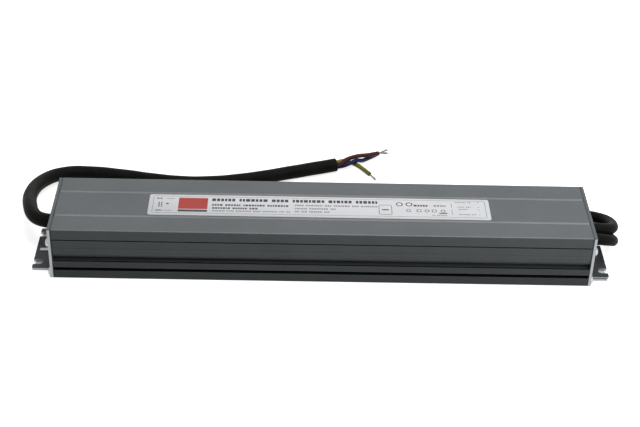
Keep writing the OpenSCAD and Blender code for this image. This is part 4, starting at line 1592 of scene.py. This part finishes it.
@dataclass(frozen=True)
class PanHeadScrews:
    """The four screws of one end: pan heads with a cross recess, and a rolled thread below."""

    side: Side
    axes: tuple[tuple[float, float], ...] = ((26.35, 24.8), (-26.35, 24.8), (26.35, 3.0), (-26.35, 3.0))
    spins: tuple[float, ...] = (0.5, 1.4, 2.3, 3.2)
    crease: float = 40.0
    seat: float = 170.0
    columns: int = 96
    head_r: float = 2.8
    head_h: float = 1.9
    dome: float = 3.2
    fall: float = 0.55
    rim: float = 0.12
    rim_heights: tuple[float, float, float] = (0.0, 0.08, 0.1)
    slot_half: float = 0.46
    slot_wall: float = 0.12
    slot_reach: float = 1.65
    slot_end: float = 0.2
    slot_depth: float = 1.15
    slot_rise: float = 1.15
    shank_r: float = 1.22
    shank_columns: int = 24
    thread: float = 0.2
    pitch: float = 1.0
    pitch_rings: int = 8
    length: float = 10.0
    tip_length: float = 1.6
    tip_share: float = 0.35

    def head(self, line: Line, spin: float) -> np.ndarray:
        """The head's surface over a polar grid.

        The distance from the axis, as a share of the head's radius, is raised to the power dome and
        taken from one. Its height is the head's, times that to the power fall, and the rim below is
        turned in a little. Two crossing slots are taken out: each has a floor that rises towards its
        ends, and walls that slope a little.

        Args:
            line: the screw's axis, from its seat outwards
            spin: how far the recess is turned, in radians

        Returns:
            Rings by columns by 3, from the rim to the middle.
        """
        r = self.head_r * np.cos(np.linspace(0.02, 1.56, 44))
        r = np.concatenate([[self.head_r - self.rim, self.head_r], r])
        share = np.clip(r / self.head_r, 0, 1)
        fall = self.head_h * (1 - share ** self.dome) ** self.fall
        height = np.broadcast_to(fall[:, None], (len(r), self.columns)).copy()
        seat, rim, least = self.rim_heights
        height[:2] = [[seat], [rim]]
        height[2:] = np.maximum(height[2:], least)
        turned = np.arange(self.columns) * TURN / self.columns
        x, y = r[:, None] * np.cos(turned - spin), r[:, None] * np.sin(turned - spin)
        near = np.minimum(abs(x), abs(y))
        far = np.maximum(abs(x), abs(y))
        inside = (np.clip((self.slot_half - near) / self.slot_wall, 0, 1)
                  * np.clip((self.slot_reach - far) / self.slot_end, 0, 1))
        depth = self.slot_depth * np.clip(self.slot_rise - far / self.slot_reach, 0, 1)
        height[2:] -= (inside * depth)[2:]
        place, side, over = line.at(np.zeros(1))
        out = unit(np.diff(line.points[:2], axis=0))
        flat = np.cos(turned)[None, :, None] * side + np.sin(turned)[None, :, None] * over
        return place + flat * r[:, None, None] + height[..., None] * out

    def shank(self, line: Line) -> np.ndarray:
        """The thread: the shank's radius plus a ridge that climbs one pitch in each turn.

        Over the last stretch the radius falls evenly to a share of itself, which makes the tip.

        Args:
            line: the screw's axis, from its seat inwards

        Returns:
            Rings by columns by 3, from the head to the tip.
        """
        s = np.arange(0, self.length, self.pitch / self.pitch_rings)
        phase = s[:, None] / self.pitch - np.arange(self.shank_columns)[None] / self.shank_columns
        ridge = np.clip(1 - 3 * abs((phase % 1) - 0.5), 0, 1)
        r = self.shank_r + self.thread * ridge
        tip = np.clip((self.length - s) / self.tip_length, self.tip_share, 1)[:, None]
        return line.rings(s, r * tip, self.shank_columns)

    def build(self) -> bpy.types.Object:
        """Builds the four screws as one piece.

        Returns:
            The piece.
        """
        shell = Shell()
        way = self.side.value
        for (y, z), spin in zip(self.axes, self.spins):
            seat = np.array([way * self.seat, y, z])
            outwards = Line(np.array([seat, seat + [way, 0, 0], seat + [2 * way, 0, 0]]))
            inwards = Line(np.linspace(seat, seat - [way * self.length, 0, 0], 20))
            shell.rings(self.head(outwards, spin))
            shell.rings(self.shank(inwards))
        node = f"end_screws_{self.side.word}"
        return shell.piece(f"{node}_threaded", [SCREW_PLATING], Slot.SCREW, [node], crease=self.crease)


class Ink(Enum):
    """The label's inks, by the number of their finish."""

    DARK = 0
    PALE = 1
    RED = 2


@dataclass(frozen=True)
class Bar:
    """A printed bar: its near left and far right corners, its ink, and how much of each corner is cut."""

    x0: float
    y0: float
    x1: float
    y1: float
    ink: Ink
    cut: float


@dataclass(frozen=True)
class Frame:
    """A printed frame: its near left and far right corners, their radius, its line's width and its ink."""

    x0: float
    y0: float
    x1: float
    y1: float
    corner: float
    line: float
    ink: Ink


@dataclass(frozen=True)
class Words:
    """Blocks in a row for words: its start, end and middle, their height, ink and mean width."""

    x0: float
    x1: float
    y: float
    height: float
    ink: Ink
    letter: float


@dataclass(frozen=True)
class RatingLabel:
    """The film on the top face, with plain bars, fields and simple shapes where its print would be."""

    centre: float = -2.0
    length: float = 216.0
    width: float = 23.0
    corner: float = 1.6
    base: float = 36.8
    thickness: float = 0.2
    cut: float = 0.08
    cut_from: float = 0.7
    ink: float = 0.012
    frames: tuple[Frame, ...] = (
        Frame(-107.4, -9.3, 103.5, 9.8, 1.2, 0.34, Ink.PALE),
        Frame(35.4, -7.2, 43.8, 3.6, 1.6, 0.35, Ink.DARK))
    bars: tuple[Bar, ...] = (
        Bar(-91.2, -4.6, -72.8, 7.9, Ink.RED, 0.3), Bar(-91.2, -7.6, -72.8, -5.3, Ink.DARK, 0.2),
        Bar(-103.9, -2.9, -102.9, 3.0, Ink.PALE, 0.25), Bar(-102.2, -2.9, -101.4, 3.0, Ink.PALE, 0.25),
        Bar(-99.0, 0.3, -97.4, 1.7, Ink.DARK, 0.25), Bar(73.4, -5.4, 78.7, -4.4, Ink.DARK, 0.2),
        Bar(37.3, -2.4, 41.9, -1.2, Ink.DARK, 0.4), Bar(81.6, 1.6, 82.0, 6.4, Ink.PALE, 0.1),
        Bar(81.6, -6.3, 82.0, -0.4, Ink.PALE, 0.1))
    lines: tuple[Words, ...] = (
        Words(-105.3, -101.2, 7.0, 1.3, Ink.DARK, 1.0), Words(-99.0, -93.4, 7.0, 0.8, Ink.PALE, 0.8),
        Words(-105.3, -101.0, -6.5, 1.3, Ink.DARK, 1.0), Words(-100.2, -95.0, -6.6, 0.8, Ink.PALE, 0.8),
        Words(-70.2, 34.7, 6.2, 3.0, Ink.DARK, 2.3), Words(-70.0, -20.5, 0.4, 1.9, Ink.DARK, 1.5),
        Words(-69.8, -40.7, -3.1, 1.8, Ink.DARK, 1.4), Words(-69.6, -20.5, -6.2, 1.3, Ink.PALE, 1.1),
        Words(-17.6, 35.0, 1.4, 1.5, Ink.PALE, 1.2), Words(-17.6, 8.4, -2.2, 1.5, Ink.PALE, 1.2),
        Words(-17.6, 4.1, -5.6, 1.5, Ink.PALE, 1.2), Words(57.8, 69.3, 3.4, 1.9, Ink.DARK, 1.7),
        Words(70.5, 78.2, 3.5, 1.7, Ink.PALE, 1.5), Words(68.9, 78.9, -7.2, 0.9, Ink.PALE, 0.9),
        Words(84.4, 94.9, 8.0, 1.0, Ink.PALE, 0.9), Words(85.5, 94.4, 2.6, 1.0, Ink.PALE, 0.9),
        Words(86.0, 92.6, 0.1, 1.0, Ink.PALE, 0.9), Words(85.9, 97.4, -5.8, 1.0, Ink.PALE, 0.9))
    rings_at: tuple[float, ...] = (48.8, 54.9)
    ring_y: tuple[float, float] = (2.5, 6.9)
    marks_at: tuple[float, ...] = (54.3, 60.9, 65.9, 70.5, 76.1)
    marks_y: tuple[float, float] = (-3.8, -0.8)
    dots_at: float = 98.6
    dots_y: tuple[float, ...] = (8.2, 2.6, -0.4, -5.8)
    dot: tuple[float, float] = (0.8, 0.7)
    ring_line: float = 0.7
    mark_line: float = 0.45
    letter_widths: tuple[float, float] = (0.6, 1.15)
    letter_gap: float = 0.28
    letter_cut: float = 0.2
    word_gap: float = 0.9
    first_word: tuple[int, int] = (2, 8)
    later_words: tuple[int, int] = (3, 9)

    def rounded_box(self, x0: float, y0: float, x1: float, y1: float, r: float, steps: int = 6) -> np.ndarray:
        """A rectangle with round corners, each a quarter of a circle.

        Args:
            x0: its left side
            y0: its near side
            x1: its right side
            y1: its far side
            r: the corners' radius, which is kept under half of either side
            steps: number of points to each corner

        Returns:
            X and Y of its points, anticlockwise.
        """
        r = min(r, 0.48 * (x1 - x0), 0.48 * (y1 - y0))
        quarter = np.linspace(0, TURN / 4, steps)
        corners = [(x1 - r, y1 - r, 0), (x0 + r, y1 - r, 1), (x0 + r, y0 + r, 2), (x1 - r, y0 + r, 3)]
        return np.concatenate([np.column_stack([x + r * np.cos(quarter + k * TURN / 4),
                                                y + r * np.sin(quarter + k * TURN / 4)])
                               for x, y, k in corners])

    def film(self) -> bpy.types.Object:
        """The film: its outline carried up through its thickness, turned in at the top edge.

        Returns:
            The piece.
        """
        rows = []
        for z, cut in ((0, 0), (self.cut_from, 0), (1, self.cut)):
            outline = self.rounded_box(self.centre - self.length / 2 + cut, -self.width / 2 + cut,
                                       self.centre + self.length / 2 - cut, self.width / 2 - cut,
                                       self.corner)
            rows.append(np.column_stack([outline, np.full(len(outline), self.base + z * self.thickness)]))
        shell = Shell()
        shell.rings(np.stack(rows))
        return shell.piece("label_film_sheet", [FILM], Slot.LABEL, ["rating_label"])

    def draw_bar(self, shell: Shell, bar: Bar) -> None:
        """Adds a printed bar: its outline with two points to a corner, carried up through the ink.

        Args:
            shell: the shell that it goes into
            bar: the bar
        """
        outline = self.rounded_box(bar.x0, bar.y0, bar.x1, bar.y1, bar.cut, 2)
        shell.rings(np.stack([self.lift(outline, 0), self.lift(outline, 1)]), mark=bar.ink.value)

    def lift(self, outline: np.ndarray, level: float) -> np.ndarray:
        """An outline as points on the film, the level times the ink's thickness above it.

        Args:
            outline: X and Y of the points
            level: 0 on the film, 1 on top of the ink

        Returns:
            The points.
        """
        z = self.base + self.thickness + level * self.ink
        return np.column_stack([outline, np.full(len(outline), z)])

    def draw_words(self, shell: Shell, words: Words, seed: int) -> None:
        """Adds a row of blocks in groups, as a line of print seems from afar.

        A block's width is the mean one times a random factor. The gaps are shares of the mean width,
        and a random number of blocks stands between two wider gaps.

        Args:
            shell: the shell that they go into
            words: the row
            seed: start of the row's own random draws
        """
        draw = np.random.default_rng(seed)
        low, high = words.y - words.height / 2, words.y + words.height / 2
        x, left = words.x0, int(draw.integers(*self.first_word))
        while x < words.x1 - 0.5 * words.letter:
            w = words.letter * draw.uniform(*self.letter_widths)
            self.draw_bar(shell, Bar(x, low, min(x + w, words.x1), high, words.ink, self.letter_cut))
            x += w + words.letter * self.letter_gap
            left -= 1
            if left <= 0:
                x += words.letter * self.word_gap
                left = int(draw.integers(*self.later_words))

    def frame_line(self, shell: Shell, outline: np.ndarray, width: float, ink: Ink) -> None:
        """Adds a thin closed line: a flat band between an outline and the same one moved in.

        Args:
            shell: the shell that it goes into
            outline: X and Y of the points, anticlockwise
            width: the line's width
            ink: its ink
        """
        inner = inset(outline, width)
        corners = [self.lift(outline, 0), self.lift(outline, 1), self.lift(inner, 1), self.lift(inner, 0)]
        shell.rings(np.stack(corners), mark=ink.value, loop=True)

    def printing(self) -> bpy.types.Object:
        """The print: bars for lines of words, a plain red field, and rings and squares for the small marks.

        Returns:
            The piece.
        """
        shell = Shell()
        for f in self.frames:
            self.frame_line(shell, self.rounded_box(f.x0, f.y0, f.x1, f.y1, f.corner), f.line, f.ink)
        for bar in self.bars:
            self.draw_bar(shell, bar)
        for seed, words in enumerate(self.lines, 1):
            self.draw_words(shell, words, seed)
        low, high = self.ring_y
        r = (high - low) / 2
        for x in self.rings_at:
            self.frame_line(shell, self.rounded_box(x - r, low, x + r, high, r), self.ring_line, Ink.DARK)
        low, high = self.marks_y
        r = (high - low) / 2
        for i, x in enumerate(self.marks_at):
            outline = self.rounded_box(x - r, low, x + r, high, r if i % 2 == 0 else r / 3)
            self.frame_line(shell, outline, self.mark_line, Ink.DARK)
        wide, r = self.dot[0], self.dot[1] / 2
        for y in self.dots_y:
            self.draw_bar(shell, Bar(self.dots_at, y - r, self.dots_at + wide, y + r, Ink.DARK, r))
        return shell.piece("label_print", [INK, PALE_INK, RED_INK], Slot.LABEL)

    def build(self) -> None:
        """Builds the film and its print."""
        self.film()
        self.printing()


# What each inner piece is made of. The sealed ones show only where the case is opened or cut.
INNER_FINISHES: dict[str, Finish] = {
    "gasket_left": GASKET_RUBBER,
    "gasket_right": GASKET_RUBBER,
    "ac_grommet": GROMMET_RUBBER,
    "dc_grommet_front": GROMMET_RUBBER,
    "dc_grommet_rear": GROMMET_RUBBER,
    # Glass and epoxy under a green mask: glossy, with tracks that stand up.
    "circuit_board": Laminate("solder_masked_glass_epoxy", "#24503a", 0.35),
    "control_card": Laminate("solder_masked_card", "#24503b", 0.35, track_w=1.6, track_l=9.0),
    # Milky film, a little cloudy.
    "insulating_sheet": Speckled("polyester_tray_film", "#d8dacb", 0.4, shade="#c2c4b2", grain=6.0),
    "input_leads": Insulation("brown_lead_pvc", "#4a3a34", 0.4),
    "output_leads": Insulation("red_lead_pvc", "#8a2a24", 0.4),
    # Pale glass between two bright caps.
    "fuse": Capped("glass_tube_with_nickel_caps", "#d8d3c4", 0.12, axis=Axis.X, low=-132.5, high=-122.5),
    # Dipped epoxy: uneven and shiny.
    "varistor": Speckled("blue_dipped_epoxy", "#2c57a5", 0.35, shade="#24488a", grain=1.5),
    "filter_capacitors": Speckled("yellow_moulded_polyester", "#c8b15a", 0.4, shade="#b29c4a"),
    # Sintered ferrite: dark, dull and gritty.
    "filter_choke_core": Speckled("sintered_ferrite_ring", "#4c4f4e", 0.7, shade="#35383a", depth=0.03),
    "booster_core": Speckled("sintered_ferrite_booster", "#3b3d3f", 0.7, shade="#2b2d2f", depth=0.03),
    "transformer_core": Speckled("sintered_ferrite_transformer", "#3b3d3f", 0.7, shade="#2a2c2e",
                                 depth=0.03),
    # Enamelled copper: warm metal under a clear amber skin, in ridges.
    "filter_choke_windings": Winding("enamelled_copper_choke", "#b5642c", 0.3, metallic=1.0, pitch=1.1,
                                     ring=(-70.5, 0.0, 11.0)),
    "booster_winding": Winding("enamelled_copper_booster", "#b5642c", 0.3, metallic=1.0, pitch=0.8),
    "output_choke": Winding("enamelled_copper_output_choke", "#b5642c", 0.3, metallic=1.0, pitch=1.3,
                            ring=(102.5, 7.0, 8.0)),
    # Polyester tape in laps: smooth and yellow, with a darker line at each lap.
    "transformer_winding": Winding("yellow_polyester_tape", "#c9a23c", 0.35, shade="#a98425", pitch=4.5),
    # Moulded epoxy with tinned legs: matt black, with a fine grain.
    "bridge_rectifier": Capped("moulded_epoxy_bridge", "#242526", 0.55, axis=Axis.Z, low=11.0, high=60.0),
    "power_transistors": Capped("moulded_epoxy_transistor", "#242526", 0.5, axis=Axis.Z, low=12.0,
                                high=21.2),
    "output_rectifiers": Capped("moulded_epoxy_rectifier", "#252627", 0.5, axis=Axis.Z, low=12.0,
                                high=21.2),
    # Sawn aluminium: pale, with the saw's even grain.
    "input_heat_bar": Speckled("sawn_aluminium_bar", "#b4b8ba", 0.4, shade="#999da0", metallic=1.0),
    "output_heat_bar": Speckled("sawn_aluminium_output_bar", "#b4b8ba", 0.4, shade="#9a9ea1",
                                metallic=1.0),
    # Cans in a shrunk sleeve, which leaves the bare top free.
    "bulk_capacitors": Capped("shrunk_blue_sleeve", "#2b3a66", 0.3, axis=Axis.X, low=-900.0, high=34.9),
    "output_capacitors": Capped("shrunk_black_sleeve", "#2b2b2d", 0.3, axis=Axis.Z, low=8.05, high=29.5),
    # Cast silicone: dark grey, smooth and faintly clouded.
    "potting_compound": Speckled("cast_silicone_potting", "#3a3c3e", 0.45, shade="#2e3032", grain=3.0,
                                 depth=0.05),
}


@dataclass(frozen=True)
class Circuit:
    """What the case holds, and the pieces whose CAD shape is right as it is: each only gets its finish."""

    finishes: dict[str, Finish] = field(default_factory=lambda: INNER_FINISHES)

    def build(self) -> None:
        """Gives each piece its finish."""
        for node, finish in self.finishes.items():
            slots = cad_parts[node].data.materials
            material = finish.material()
            for i in range(len(slots)):
                slots[i] = material
            if not slots:
                slots.append(material)
            log.info("%s: %s", node, finish.name)


def main() -> None:
    """Builds the studio, the cords, the case and its ends, the label, and dresses what is inside."""
    logging.basicConfig(level=logging.INFO, format="%(message)s")
    Studio().build()
    SupplyCord().build()
    OutputCords().build()
    ExtrudedCase().build()
    for side, coat in ((Side.LEFT, PLATE_COAT), (Side.RIGHT, DULL_SHADED_PLATE_COAT)):
        EndPlate(side, coat).build()
        PanHeadScrews(side).build()
    RatingLabel().build()
    Circuit().build()


if __name__ == "__main__":
    main()
